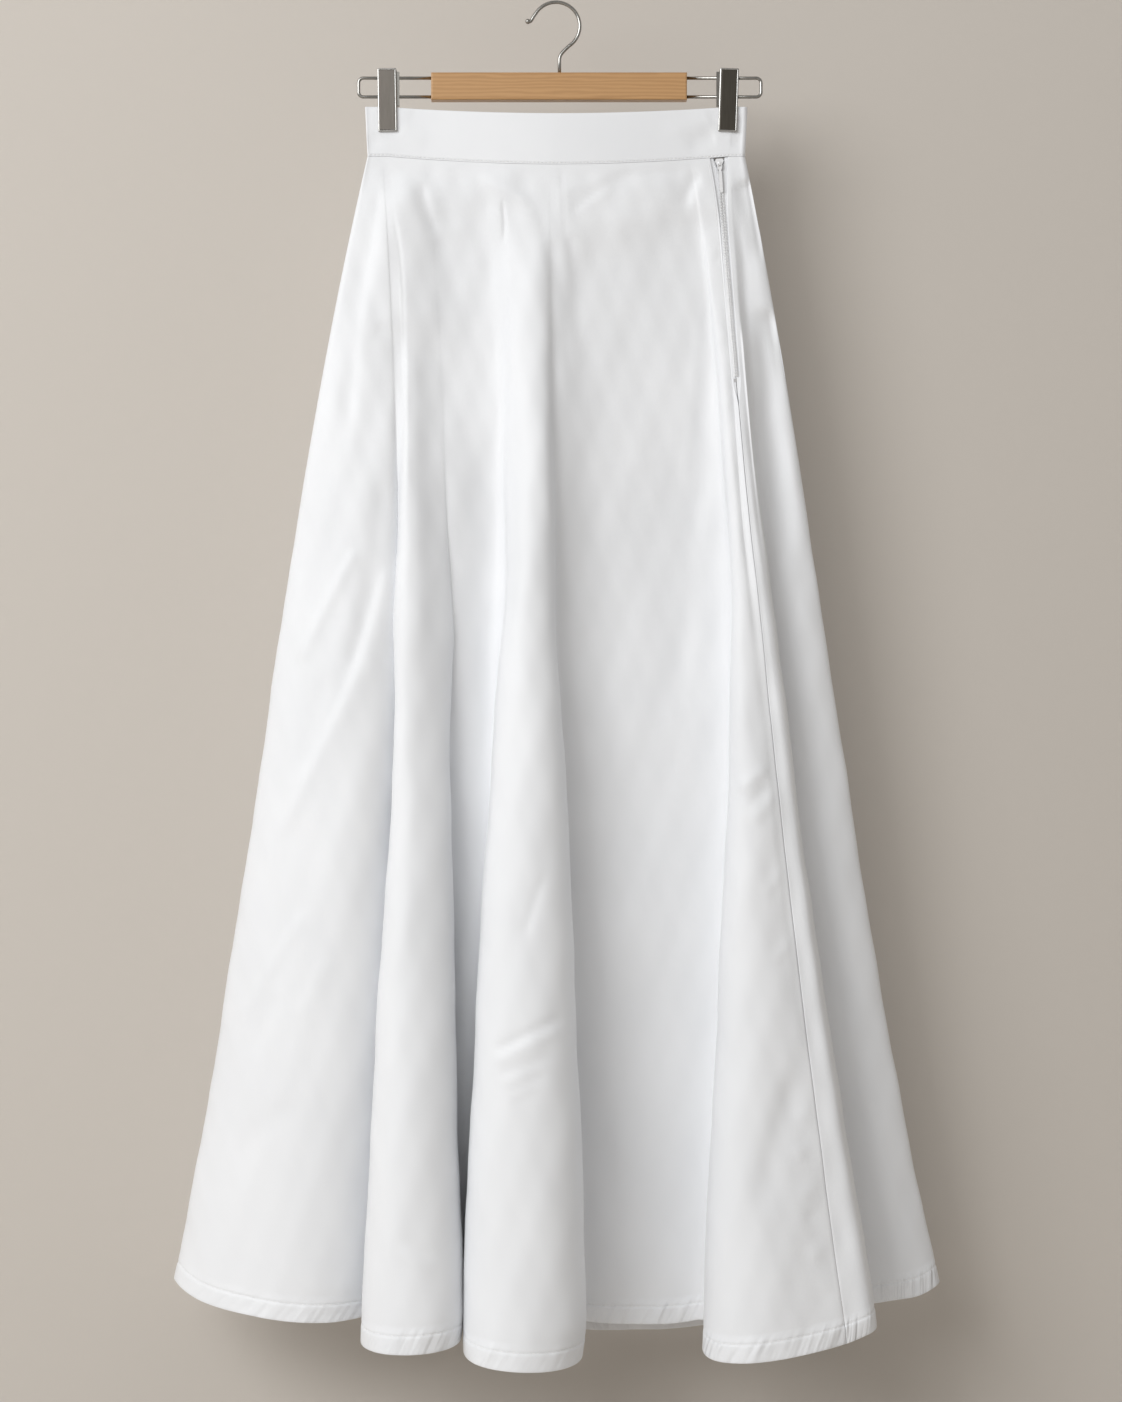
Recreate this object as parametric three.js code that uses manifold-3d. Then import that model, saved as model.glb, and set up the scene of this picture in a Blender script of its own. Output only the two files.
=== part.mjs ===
// A long flared skirt hung by two clips from a wood and wire hanger.
// Millimetres, +Z up. The origin is the inside top of the hanger's hook, where it hangs.
// -Y is the front, +Y is towards the wall, and +X is the side with the zip.
import * as THREE from 'three';
import { mergeVertices } from 'three/addons/utils/BufferGeometryUtils.js';
import Module from 'manifold-3d';

const wasm = await Module();
wasm.setup();

// Cloth sizes
const CLOTH_WALL = 1.4;
const HEM_DEPTH = 15;
const HEM_WALL = 2.1;
const BAND_WALL = 1.7;
const BAND_FLARE = 0.013;
const PIECE_GAP = 0.3;
const SMALL_STEP = 0.002;
const ROUND_STEP = 0.01;

// The closed waist between the clips: the clips press it flat, and it opens between them
const CLIP_X = { left: -141.5, right: 144.7 };
const CLIP_GRIP = 9;
const PRESSED_HALF = 3.0;
const WAIST_OPENING = 6.5;
const WAIST_ROUNDNESS = 1.5;
const BAND_TOP = { z: -86.8, sag: 6.5 };
const WAIST_SEAM = { z: -128.7, sag: 7.6 };

// Zip: places down the skirt as a share of its length, sizes across the seam in millimetres,
// and depths below the cloth's outer face
const ZIP_END = 0.19;
const ZIP_CLOSED = 0.215;
const ZIP_HALF_OPENING = 3.2;
const ZIP_TOP_SPREAD = 4.3;
const ZIP_SPREAD_END = 0.07;
const ZIP_TAPE = { inner: 2.6, outer: 9.5, shallow: 2.0, deep: 2.7, spread: 3, spreadEnd: 0.03 };
const ZIP_CHAIN = { inner: 0.2, outer: 2.3, shallow: 1.2, deep: 2.5 };
const SLIDER = {
  down: 0.0055, height: 8.5, topHalf: 3.6, bottomHalf: 2.2,
  front: -0.3, channelTop: 0.9, channelBottom: 2.8, back: 3.5, post: 1.4,
};
const BAIL = { width: 1.5, hole: 1.8, leg: 0.7, clear: 1.7, bar: 0.7 };
const PULL = {
  thickness: 0.8, lift: 0.45, eyeHalf: 2.1, arm: 0.9, eyeLength: 4.6, eyeEdge: 1.2, eyeWall: 1.4,
  neck: 0.9, neckBelow: 1, shoulderBelow: 3, tabHalf: 1.3, corner: 0.8, length: 24.4,
};
const STOP = { width: 4.4, height: 2.6, shallow: 1.0, deep: 2.6, below: 1.9 };

// Hanger sizes
const BAR = { left: -104.7, right: 109.8, top: -58.6, bottom: -81.5, depth: 13, edge: 1.2 };
const HOOK_WIRE = 3.0;
const HOOK = {
  radius: 20, arcStart: -56, arcEnd: 147, stemX: 2.9, stemBottom: -68,
  tipBall: 4.4, ballX: -23.6, ballZ: -14.7,
};
const LOOP_WIRE = 2.8;
const LOOP_Z = { top: -62.3, bottom: -78.1 };
const LOOP_END = { left: -165.8, right: 172.2 };
const LOOP_CORNER = 4;
const SOCKET_DEPTH = 12;
const SOCKET_CLEARANCE = 0.3;
const JAW = { width: 16, top: -54.8, bottom: -108.1, thickness: 2.0, edge: 0.6 };
const JAW_TILT = { left: 0.9, right: -1.9 };
const SLEEVE = { top: -57.5, bottom: -86.0, shorter: 1.2, longer: 2.0 };

// A fold's hang lines are set at four levels, as a share of the way from waist seam to hem
const LEVELS = [0, 0.2, 0.6, 1];

// How a fold's outline runs across it: from its left (0) to its right (1), and how far out.
// tuck -1 and 1 are the feet of a fold that overhangs the cloth beside it.
const PROFILES = {
  sweep: [
    { across: 0, out: 0 },
    { across: 0.12, out: 0.44 },
    { across: 0.35, out: 0.8 },
    { across: 0.62, out: 1 },
    { across: 0.86, out: 0.84 },
  ],
  tucked: [
    { across: 0, out: 0, tuck: 1 },
    { across: 0, out: 0.5 },
    { across: 0.14, out: 0.87 },
    { across: 0.5, out: 1 },
    { across: 0.86, out: 0.87 },
    { across: 1, out: 0.5 },
    { across: 1, out: 0, tuck: -1 },
  ],
  lapped: [
    { across: 0, out: 0, tuck: 1 },
    { across: 0, out: 0.5 },
    { across: 0.13, out: 0.86 },
    { across: 0.43, out: 1 },
    { across: 0.75, out: 0.93 },
    { across: 1, out: 0.8 },
  ],
  strip: [
    { across: 0.75, out: 0.74 },
    { across: 1, out: 0.58 },
    { across: 1, out: 0.1, tuck: -1 },
  ],
  flat: [
    { across: 0.25, out: 0 },
    { across: 0.5, out: 0 },
    { across: 0.75, out: 0 },
  ],
  line: [
    { across: 0.5, out: 0 },
  ],
  soft: [
    { across: 0, out: 0 },
    { across: 0.27, out: 0.72 },
    { across: 0.5, out: 1 },
    { across: 0.73, out: 0.72 },
  ],
};
const TUCK_GROWTH = [-0.28, -0.4, 0.6, 1];
const LIFT_POWER = 0.6;

// The folds in order: along the front from left to right, then back along the rear.
// left, right: X of the fold's sides at the four levels. foot, crest: Y at the hem.
// hemLeft, hemCrest, hemRight: Z of the hem. starts: where the fold begins to stand out,
// and startsRight where its right side does, when that is lower.
const FOLDS = [
  { name: 'left_sweep', profile: 'sweep', face: -1, left: [-157.9, -196.6, -256.2, -321.5],
    right: [-144, -128.5, -133, -150], foot: 8, crest: -56,
    hemLeft: -1072, hemCrest: -1096, hemRight: -1084, peak: 0.62, tuck: 0, starts: 0.02 },
  { name: 'fold_a', profile: 'tucked', face: -1, left: [-141, -129.2, -140.5, -160.6],
    right: [-110, -96, -89, -77.5], foot: -10, crest: -106,
    hemLeft: -1097, hemCrest: -1112, hemRight: -1095, peak: 0.5, tuck: 15,
    starts: 0.13, startsRight: 0.34 },
  { name: 'valley_ab', profile: 'line', face: -1, left: [-82, -68, -72, -78],
    right: [-82, -68, -72, -78], foot: -8, crest: -8,
    hemLeft: -1103, hemCrest: -1103, hemRight: -1103, peak: 0.5, tuck: 0, starts: 0.06 },
  { name: 'fold_b', profile: 'tucked', face: -1, left: [-45, -41.5, -60, -77.5],
    right: [-5, -3.5, 7.9, 22.5], foot: -10, crest: -119,
    hemLeft: -1100, hemCrest: -1123, hemRight: -1104, peak: 0.5, tuck: 17, starts: 0.11 },
  { name: 'recess', profile: 'flat', face: -1, left: [-2, -3, 0, 5],
    right: [126, 150, 145, 134], foot: -6, crest: -6,
    hemLeft: -1107, hemCrest: -1107, hemRight: -1108, peak: 0.5, tuck: 0, starts: 0.05 },
  { name: 'fold_c', profile: 'lapped', face: -1, left: [113, 136.5, 137.5, 118.2],
    right: [136.5, 151.3, 187.7, 235.8], foot: -10, crest: -95,
    hemLeft: -1103, hemCrest: -1120, hemRight: -1088, peak: 0.43, tuck: 10, starts: 0.03 },
  { name: 'strip', profile: 'strip', face: -1, left: [136.5, 151.3, 187.7, 235.8],
    right: [147, 159.5, 204, 262.5], foot: -8, crest: -95,
    hemLeft: -1106, hemCrest: -1106, hemRight: -1090, peak: 0.5, tuck: 10, starts: 0.03 },
  { name: 'right_flat', profile: 'flat', face: -1, left: [150, 161, 198, 250],
    right: [158.8, 194.2, 253, 326], foot: -5, crest: -5,
    hemLeft: -1094, hemCrest: -1087, hemRight: -1080, peak: 0.5, tuck: 0, starts: 0 },
  { name: 'right_edge', profile: 'line', face: 0, left: [158.8, 194.2, 253, 326],
    right: [158.8, 194.2, 253, 326], foot: 10, crest: 10,
    hemLeft: -1073, hemCrest: -1073, hemRight: -1073, peak: 0.5, tuck: 0, starts: 0 },
  { name: 'back_d', profile: 'soft', face: 1, left: [154, 182, 234, 296],
    right: [78, 88, 112, 142], foot: 36, crest: 80,
    hemLeft: -1086, hemCrest: -1110, hemRight: -1114, peak: 0.5, tuck: 0, starts: 0.03 },
  { name: 'back_e', profile: 'soft', face: 1, left: [78, 88, 112, 142],
    right: [-12, -20, -16, -14], foot: 34, crest: 84,
    hemLeft: -1114, hemCrest: -1131, hemRight: -1116, peak: 0.5, tuck: 0, starts: 0.05 },
  { name: 'back_f', profile: 'soft', face: 1, left: [-12, -20, -16, -14],
    right: [-108, -128, -164, -206], foot: 34, crest: 80,
    hemLeft: -1116, hemCrest: -1117, hemRight: -1107, peak: 0.5, tuck: 0, starts: 0.04 },
  { name: 'back_g', profile: 'soft', face: 1, left: [-108, -128, -164, -206],
    right: [-154, -188, -240, -296], foot: 34, crest: 58,
    hemLeft: -1107, hemCrest: -1100, hemRight: -1088, peak: 0.5, tuck: 0, starts: 0.02 },
  { name: 'left_turn', profile: 'line', face: 1, left: [-156.5, -194, -252, -314],
    right: [-156.5, -194, -252, -314], foot: 28, crest: 28,
    hemLeft: -1079, hemCrest: -1079, hemRight: -1079, peak: 0.5, tuck: 0, starts: 0.02 },
];

// The hang lines of every fold, in order round the skirt
const LINES = FOLDS.flatMap((fold) => PROFILES[fold.profile].map((spot, index) => {
  const shift = (spot.tuck ?? 0) * fold.tuck;
  const along = (side, share) => THREE.MathUtils.lerp(fold.left[side], fold.right[side], share);
  const base = (share) => THREE.MathUtils.lerp(fold.hemLeft, fold.hemRight, share);
  const lift = (fold.hemCrest - base(fold.peak)) * spot.out ** LIFT_POWER;
  return {
    fold: fold.name,
    index,
    x: LEVELS.map((level, side) => along(side, spot.across) + shift * TUCK_GROWTH[side]),
    y: THREE.MathUtils.lerp(fold.foot, fold.crest, spot.out),
    z: base(spot.across) + lift,
    face: fold.face,
    starts: THREE.MathUtils.lerp(fold.starts, fold.startsRight ?? fold.starts, spot.across),
  };
}));
const lineIndex = (fold, index) => LINES.findIndex((line) => line.fold === fold && line.index === index);
const ZIP_SEAM = lineIndex('fold_c', 5);
const REAR_SEAM = lineIndex('back_g', 2);

// How far a place on the waist lies from the pressed clips, from 0 to 1 in the middle
function betweenClips(x, left, right) {
  return Math.sin(Math.PI * THREE.MathUtils.clamp((x - left) / (right - left), 0, 1));
}

function waistHalf(x) {
  const free = betweenClips(x, CLIP_X.left + CLIP_GRIP, CLIP_X.right - CLIP_GRIP);
  return PRESSED_HALF + WAIST_OPENING * free ** WAIST_ROUNDNESS;
}

function waistSag(x) {
  return betweenClips(x, CLIP_X.left, CLIP_X.right);
}

// A value given at the four levels, at any height
function atHeight(values, down) {
  return values.reduce((sum, value, i) => {
    const others = LEVELS.filter((level, j) => j !== i);
    const weight = others.reduce((product, level) => product * (down - level) / (LEVELS[i] - level), 1);
    return sum + value * weight;
  }, 0);
}

// 0 at the waist and 1 at the hem, growing from where the fold starts
function foldGrowth(down, starts) {
  const softness = 0.09;
  const bend = (share) => 0.5 * (Math.hypot(share - starts, softness) + share - starts);
  return (bend(down) - bend(0)) / (bend(1) - bend(0));
}

// Where each hang line is at one height, sharpened so that the spline runs through them
const rowCache = new Map();
function hangRow(down) {
  if (rowCache.has(down)) return rowCache.get(down);
  const places = LINES.map((line) => {
    const waistX = line.x[0];
    const waistY = line.face * waistHalf(waistX);
    const waistZ = WAIST_SEAM.z - WAIST_SEAM.sag * waistSag(waistX);
    const growth = foldGrowth(down, line.starts);
    return new THREE.Vector3(
      atHeight(line.x, down),
      THREE.MathUtils.lerp(waistY, line.y, growth),
      THREE.MathUtils.lerp(waistZ, line.z, down),
    );
  });
  const count = places.length;
  const row = places.map((place, i) => {
    const before = places[(i + count - 1) % count];
    const after = places[(i + 1) % count];
    return place.clone().multiplyScalar(8 / 6).addScaledVector(before, -1 / 6).addScaledVector(after, -1 / 6);
  });
  rowCache.set(down, row);
  return row;
}

// A place on the cloth's outer face: around counts hang lines, down runs from 0 to 1
function clothPoint(around, down) {
  const row = hangRow(down);
  const count = row.length;
  const first = Math.floor(around);
  const f = around - first;
  const weights = [
    (1 - f) ** 3 / 6,
    (3 * f ** 3 - 6 * f ** 2 + 4) / 6,
    (-3 * f ** 3 + 3 * f ** 2 + 3 * f + 1) / 6,
    f ** 3 / 6,
  ];
  const point = new THREE.Vector3();
  weights.forEach((weight, k) => {
    point.addScaledVector(row[((first - 1 + k) % count + count) % count], weight);
  });
  return point;
}

function clothFrame(around, down) {
  const low = Math.max(down - SMALL_STEP, 0);
  const high = Math.min(down + SMALL_STEP, 1);
  const along = clothPoint(around, high).sub(clothPoint(around, low)).normalize();
  const across = clothPoint(around + ROUND_STEP, down).sub(clothPoint(around - ROUND_STEP, down));
  const speed = across.length() / (2 * ROUND_STEP);
  const out = along.clone().cross(across).normalize();
  return { along, across: across.normalize(), out, speed };
}

// A place below the outer face by depth
function clothInside(around, down, depth) {
  const point = clothPoint(around, down);
  return point.addScaledVector(clothFrame(around, down).out, -depth);
}

// The place round the skirt that lies a distance in millimetres beside a seam
function besideSeam(seam, distance, down) {
  const steps = 10;
  let around = seam;
  for (let i = 0; i < steps; i += 1) {
    around += distance / steps / clothFrame(around, down).speed;
  }
  return around;
}

// Half the gap between the panels at the zip seam: wide at the top, closed below the zip
function zipHalfGap(down) {
  const spread = Math.max(0, 1 - down / ZIP_SPREAD_END);
  const open = ZIP_HALF_OPENING + ZIP_TOP_SPREAD * spread ** 2;
  const closed = THREE.MathUtils.smoothstep(down, ZIP_END, ZIP_CLOSED);
  return THREE.MathUtils.lerp(open, PIECE_GAP / 2, closed);
}

// A closed geometry from an outer and an inner grid of points, each a list of rows
function wallGeometry(outer, inner, closedRound = false) {
  const rows = outer.length;
  const columns = outer[0].length;
  const points = [...outer.flat(), ...inner.flat()];
  const indices = [];
  const quad = (a, b, c, d) => indices.push(a, b, c, a, c, d);
  const at = (side, row, column) => side * rows * columns + row * columns + column % columns;
  const spans = closedRound ? columns : columns - 1;
  for (let row = 0; row < rows - 1; row += 1) {
    for (let column = 0; column < spans; column += 1) {
      quad(at(0, row, column), at(0, row + 1, column), at(0, row + 1, column + 1), at(0, row, column + 1));
      quad(at(1, row, column), at(1, row, column + 1), at(1, row + 1, column + 1), at(1, row + 1, column));
    }
  }
  for (let column = 0; column < spans; column += 1) {
    quad(at(0, 0, column), at(0, 0, column + 1), at(1, 0, column + 1), at(1, 0, column));
    const last = rows - 1;
    quad(at(0, last, column), at(1, last, column), at(1, last, column + 1), at(0, last, column + 1));
  }
  if (!closedRound) {
    for (let row = 0; row < rows - 1; row += 1) {
      const last = columns - 1;
      quad(at(0, row, 0), at(1, row, 0), at(1, row + 1, 0), at(0, row + 1, 0));
      quad(at(0, row, last), at(0, row + 1, last), at(1, row + 1, last), at(1, row, last));
    }
  }
  const geometry = new THREE.BufferGeometry();
  geometry.setAttribute('position', new THREE.Float32BufferAttribute(points.flatMap((p) => [p.x, p.y, p.z]), 3));
  geometry.setIndex(indices);
  return geometry;
}

// Booleans
function toSolid(geometry) {
  const bare = geometry.clone();
  bare.deleteAttribute('normal');
  bare.deleteAttribute('uv');
  const merged = mergeVertices(bare, 1e-4);
  return new wasm.Manifold(new wasm.Mesh({
    numProp: 3,
    vertProperties: Float32Array.from(merged.attributes.position.array),
    triVerts: Uint32Array.from(merged.index.array),
  }));
}

function toGeometry(solid) {
  const mesh = solid.getMesh();
  const geometry = new THREE.BufferGeometry();
  geometry.setAttribute('position', new THREE.BufferAttribute(Float32Array.from(mesh.vertProperties), 3));
  geometry.setIndex(new THREE.BufferAttribute(Uint32Array.from(mesh.triVerts), 1));
  return geometry;
}

function cut(body, ...tools) {
  const solid = tools.reduce((left, tool) => left.subtract(toSolid(tool)), toSolid(body));
  return toGeometry(solid);
}

function join(...parts) {
  const solids = parts.map(toSolid);
  return toGeometry(solids.reduce((all, solid) => all.add(solid)));
}

// Materials
const clothWhite = { color: 0xf1f1f3, roughness: 0.55, metalness: 0 };
const zipWhite = { color: 0xe6e6ea, roughness: 0.6, metalness: 0 };
const nickel = { color: 0xb9b9bb, roughness: 0.25, metalness: 1 };
const darkNickel = { color: 0x7d766d, roughness: 0.4, metalness: 1 };
const beech = { color: 0xc79a66, roughness: 0.5, metalness: 0 };

const group = new THREE.Group();
function addPiece(name, geometry, finish, parent = group) {
  geometry.computeVertexNormals();
  const mesh = new THREE.Mesh(geometry, new THREE.MeshStandardMaterial(finish));
  mesh.name = name;
  parent.add(mesh);
  return mesh;
}

// Panels
const ZIP_ROWS = [0, 0.012, 0.027, 0.045, 0.07, 0.1, 0.13, 0.16, ZIP_END];
const LOWER_ROWS = [0.2025, ZIP_CLOSED, 0.27, 0.35, 0.43, 0.51, 0.59, 0.67, 0.75, 0.83, 0.91];
const SKIRT_LENGTH = 980;
const HEM_START = 1 - HEM_DEPTH / SKIRT_LENGTH;
const PANEL_ROWS = [...ZIP_ROWS, ...LOWER_ROWS, HEM_START - 0.001, HEM_START, 1];

// A panel between two hang lines, its ends drawn back by a gap. Only the columns next to
// an end move with its gap, so that the others follow their hang lines.
const EDGE_REACH = 8;
function panelGeometry(first, last, firstGap, lastGap, columns) {
  const outer = [];
  const inner = [];
  PANEL_ROWS.forEach((down) => {
    const wall = down < HEM_START ? CLOTH_WALL : HEM_WALL;
    const firstShift = besideSeam(first, firstGap(down), down) - first;
    const lastShift = besideSeam(last, -lastGap(down), down) - last;
    const places = Array.from({ length: columns + 1 }, (unused, i) => {
      const share = i / columns;
      const near = firstShift * (1 - share) ** EDGE_REACH + lastShift * share ** EDGE_REACH;
      return THREE.MathUtils.lerp(first, last, share) + near;
    });
    outer.push(places.map((around) => clothPoint(around, down)));
    inner.push(places.map((around) => clothInside(around, down, wall)));
  });
  return wallGeometry(outer, inner);
}

function buildPanels() {
  const columnsPerLine = 2;
  const rearStart = REAR_SEAM - LINES.length;
  const frontColumns = (ZIP_SEAM - rearStart) * columnsPerLine;
  const backColumns = (REAR_SEAM - ZIP_SEAM) * columnsPerLine;
  const seamGap = () => PIECE_GAP / 2;
  addPiece('skirt_front', panelGeometry(rearStart, ZIP_SEAM, seamGap, zipHalfGap, frontColumns), clothWhite);
  addPiece('skirt_back', panelGeometry(ZIP_SEAM, REAR_SEAM, zipHalfGap, seamGap, backColumns), clothWhite);
}

// Waistband
function buildWaistband() {
  const columns = 84;
  const heights = [0, 0.5, 1];
  const outer = [];
  const inner = [];
  [...heights].reverse().forEach((height) => {
    const rowPoint = (i, depth) => {
      const around = i * LINES.length / columns;
      const point = clothInside(around, 0, 0);
      const out = clothFrame(around, 0).out.setZ(0).normalize();
      const low = WAIST_SEAM.z - WAIST_SEAM.sag * waistSag(point.x) + PIECE_GAP;
      const high = BAND_TOP.z - BAND_TOP.sag * waistSag(point.x);
      point.addScaledVector(out, -depth);
      point.x *= 1 + BAND_FLARE * height;
      point.z = THREE.MathUtils.lerp(low, high, height);
      return point;
    };
    outer.push(Array.from({ length: columns }, (unused, i) => rowPoint(i, 0)));
    inner.push(Array.from({ length: columns }, (unused, i) => rowPoint(i, BAND_WALL)));
  });
  addPiece('waistband', wallGeometry(outer, inner, true), clothWhite);
}

// A strip along the zip seam, between two distances from it
function seamStrip(from, to, depths, rows) {
  const outer = [];
  const inner = [];
  rows.forEach((down) => {
    const ends = [from(down), to(down)];
    const places = [0, 0.5, 1].map((share) => besideSeam(ZIP_SEAM, THREE.MathUtils.lerp(...ends, share), down));
    outer.push(places.map((around) => clothInside(around, down, depths.shallow)));
    inner.push(places.map((around) => clothInside(around, down, depths.deep)));
  });
  return wallGeometry(outer, inner);
}

function buildZipStrips() {
  const chainRows = [SLIDER.down, ...ZIP_ROWS.filter((down) => down > SLIDER.down)];
  const tapeInner = (down) => ZIP_TAPE.inner + ZIP_TAPE.spread * Math.max(0, 1 - down / ZIP_TAPE.spreadEnd) ** 2;
  const tapeOuter = () => ZIP_TAPE.outer;
  const chainInner = () => ZIP_CHAIN.inner;
  const chainOuter = () => ZIP_CHAIN.outer;
  const minus = (distance) => (down) => -distance(down);
  addPiece('zip_tape_front', seamStrip(minus(tapeOuter), minus(tapeInner), ZIP_TAPE, ZIP_ROWS), zipWhite);
  addPiece('zip_tape_back', seamStrip(tapeInner, tapeOuter, ZIP_TAPE, ZIP_ROWS), zipWhite);
  addPiece('zip_chain_front', seamStrip(minus(chainOuter), minus(chainInner), ZIP_CHAIN, chainRows), zipWhite);
  addPiece('zip_chain_back', seamStrip(chainInner, chainOuter, ZIP_CHAIN, chainRows), zipWhite);
}

// A nested group on the zip seam: its X runs across the seam, Y up it and Z out of the cloth
function seamGroup(down) {
  const { along, out } = clothFrame(ZIP_SEAM, down);
  const up = along.clone().negate();
  const across = up.clone().cross(out).normalize();
  const place = new THREE.Group();
  place.quaternion.setFromRotationMatrix(new THREE.Matrix4().makeBasis(across, up, out));
  place.position.copy(clothPoint(ZIP_SEAM, down));
  group.add(place);
  return place;
}

function plate(corners, shallow, deep, hole = null) {
  const shape = new THREE.Shape(corners.map(([x, y]) => new THREE.Vector2(x, y)));
  if (hole) shape.holes.push(new THREE.Path(hole.map(([x, y]) => new THREE.Vector2(x, y))));
  const geometry = new THREE.ExtrudeGeometry(shape, { depth: deep - shallow, bevelEnabled: false });
  geometry.translate(0, 0, -deep);
  return geometry;
}

// Slider: two plates joined by a post, with a bail on its face for the pull
function buildSlider(place) {
  const half = SLIDER.height / 2;
  const outline = [
    [-SLIDER.bottomHalf, -half],
    [SLIDER.bottomHalf, -half],
    [SLIDER.bottomHalf, -half / 3],
    [SLIDER.topHalf, half * 0.6],
    [SLIDER.topHalf - 1, half],
    [-SLIDER.topHalf + 1, half],
    [-SLIDER.topHalf, half * 0.6],
    [-SLIDER.bottomHalf, -half / 3],
  ];
  const block = (x, bottom, top) => [[-x, bottom], [x, bottom], [x, top], [-x, top]];
  const post = block(SLIDER.post / 2, half * 0.35, half * 0.95);
  const halfBail = BAIL.hole / 2 + BAIL.leg;
  const face = SLIDER.front;
  const bailBody = plate(block(BAIL.width / 2, -halfBail, halfBail), face - BAIL.clear - BAIL.bar, face + 0.1);
  const bailHole = plate(block(BAIL.width, -BAIL.hole / 2, BAIL.hole / 2), face - BAIL.clear, face);
  const slider = join(
    plate(outline, SLIDER.front, SLIDER.channelTop),
    plate(outline, SLIDER.channelBottom, SLIDER.back),
    plate(post, SLIDER.channelTop - 0.1, SLIDER.channelBottom + 0.1),
    cut(bailBody, bailHole),
  );
  addPiece('zip_slider', slider, nickel, place);
}

// Pull tab: an eye round the bail, and a narrow tab that hangs along the zip
function buildPull(place) {
  const shallow = SLIDER.front - PULL.lift - PULL.thickness;
  const deep = SLIDER.front - PULL.lift;
  const pin = PULL.thickness / 2;
  const eyeEnd = -PULL.eyeLength;
  const outline = [
    [-PULL.eyeHalf, pin],
    [-PULL.eyeHalf, eyeEnd + PULL.eyeEdge],
    [-PULL.neck, eyeEnd - PULL.neckBelow],
    [-PULL.tabHalf, eyeEnd - PULL.shoulderBelow],
    [-PULL.tabHalf, -PULL.length + PULL.corner],
    [-PULL.tabHalf + PULL.corner, -PULL.length],
    [PULL.tabHalf - PULL.corner, -PULL.length],
    [PULL.tabHalf, -PULL.length + PULL.corner],
    [PULL.tabHalf, eyeEnd - PULL.shoulderBelow],
    [PULL.neck, eyeEnd - PULL.neckBelow],
    [PULL.eyeHalf, eyeEnd + PULL.eyeEdge],
    [PULL.eyeHalf, pin],
  ];
  const inside = PULL.eyeHalf - PULL.arm;
  const low = eyeEnd + PULL.eyeWall;
  const hole = [[-inside, -pin], [inside, -pin], [inside, low], [-inside, low]];
  addPiece('zip_pull', plate(outline, shallow, deep, hole), nickel, place);
}

// Bottom stop across both rows of the chain
function buildStop() {
  const place = seamGroup(ZIP_END);
  const stop = new THREE.BoxGeometry(STOP.width, STOP.height, STOP.deep - STOP.shallow);
  stop.translate(0, -STOP.below, -(STOP.deep + STOP.shallow) / 2);
  addPiece('zip_stop', stop, nickel, place);
}

// Hanger bar
function rodBetween(radius, length, axis) {
  const rod = new THREE.CylinderGeometry(radius, radius, length, 16);
  if (axis === 'x') rod.rotateZ(Math.PI / 2);
  if (axis === 'z') rod.rotateX(Math.PI / 2);
  return rod;
}

function roundedBox(width, height, depth, edge) {
  const shape = new THREE.Shape();
  const w = width / 2 - edge;
  const h = height / 2 - edge;
  shape.moveTo(-w, -h);
  shape.lineTo(w, -h);
  shape.lineTo(w, h);
  shape.lineTo(-w, h);
  shape.closePath();
  const box = new THREE.ExtrudeGeometry(shape, {
    depth: depth - 2 * edge,
    bevelSize: edge,
    bevelThickness: edge,
    bevelSegments: 2,
  });
  box.translate(0, 0, edge - depth / 2);
  return box;
}

function buildBar() {
  const width = BAR.right - BAR.left;
  const height = BAR.top - BAR.bottom;
  const centre = { x: (BAR.left + BAR.right) / 2, z: (BAR.top + BAR.bottom) / 2 };
  const bar = roundedBox(width, height, BAR.depth, BAR.edge);
  bar.rotateX(Math.PI / 2);
  bar.translate(centre.x, 0, centre.z);
  const sockets = [BAR.left, BAR.right].flatMap((x) => [LOOP_Z.top, LOOP_Z.bottom].map((z) => {
    const socket = rodBetween(LOOP_WIRE / 2 + SOCKET_CLEARANCE, 2 * SOCKET_DEPTH, 'x');
    socket.translate(x, 0, z);
    return socket;
  }));
  const hookHole = rodBetween(HOOK_WIRE / 2 + SOCKET_CLEARANCE, 2 * (BAR.top - HOOK.stemBottom + PIECE_GAP), 'z');
  hookHole.translate(HOOK.stemX, 0, BAR.top);
  addPiece('hanger_bar', cut(bar, ...sockets, hookHole), beech);
}

// A bent wire: a curve that is sampled at its own knots
class WirePath extends THREE.Curve {
  constructor(knots) {
    super();
    this.knots = knots;
  }

  getPoint(share, target = new THREE.Vector3()) {
    const last = this.knots.length - 1;
    const place = THREE.MathUtils.clamp(share * last, 0, last);
    const first = Math.min(Math.floor(place), last - 1);
    return target.lerpVectors(this.knots[first], this.knots[first + 1], place - first);
  }

  getPointAt(share, target) {
    return this.getPoint(share, target);
  }

  getTangentAt(share, target = new THREE.Vector3()) {
    const last = this.knots.length - 1;
    const knot = Math.round(share * last);
    const before = this.knots[Math.max(knot - 1, 0)];
    const after = this.knots[Math.min(knot + 1, last)];
    const here = this.knots[knot];
    const into = here.clone().sub(before).normalize();
    const onward = after.clone().sub(here).normalize();
    return target.copy(into.add(onward)).normalize();
  }
}

function bentWire(knots, diameter, sides) {
  const section = new THREE.Shape(Array.from({ length: sides }, (unused, i) => {
    const angle = 2 * Math.PI * i / sides;
    return new THREE.Vector2(diameter / 2 * Math.cos(angle), diameter / 2 * Math.sin(angle));
  }));
  return new THREE.ExtrudeGeometry(section, {
    steps: knots.length - 1,
    extrudePath: new WirePath(knots),
  });
}

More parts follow.
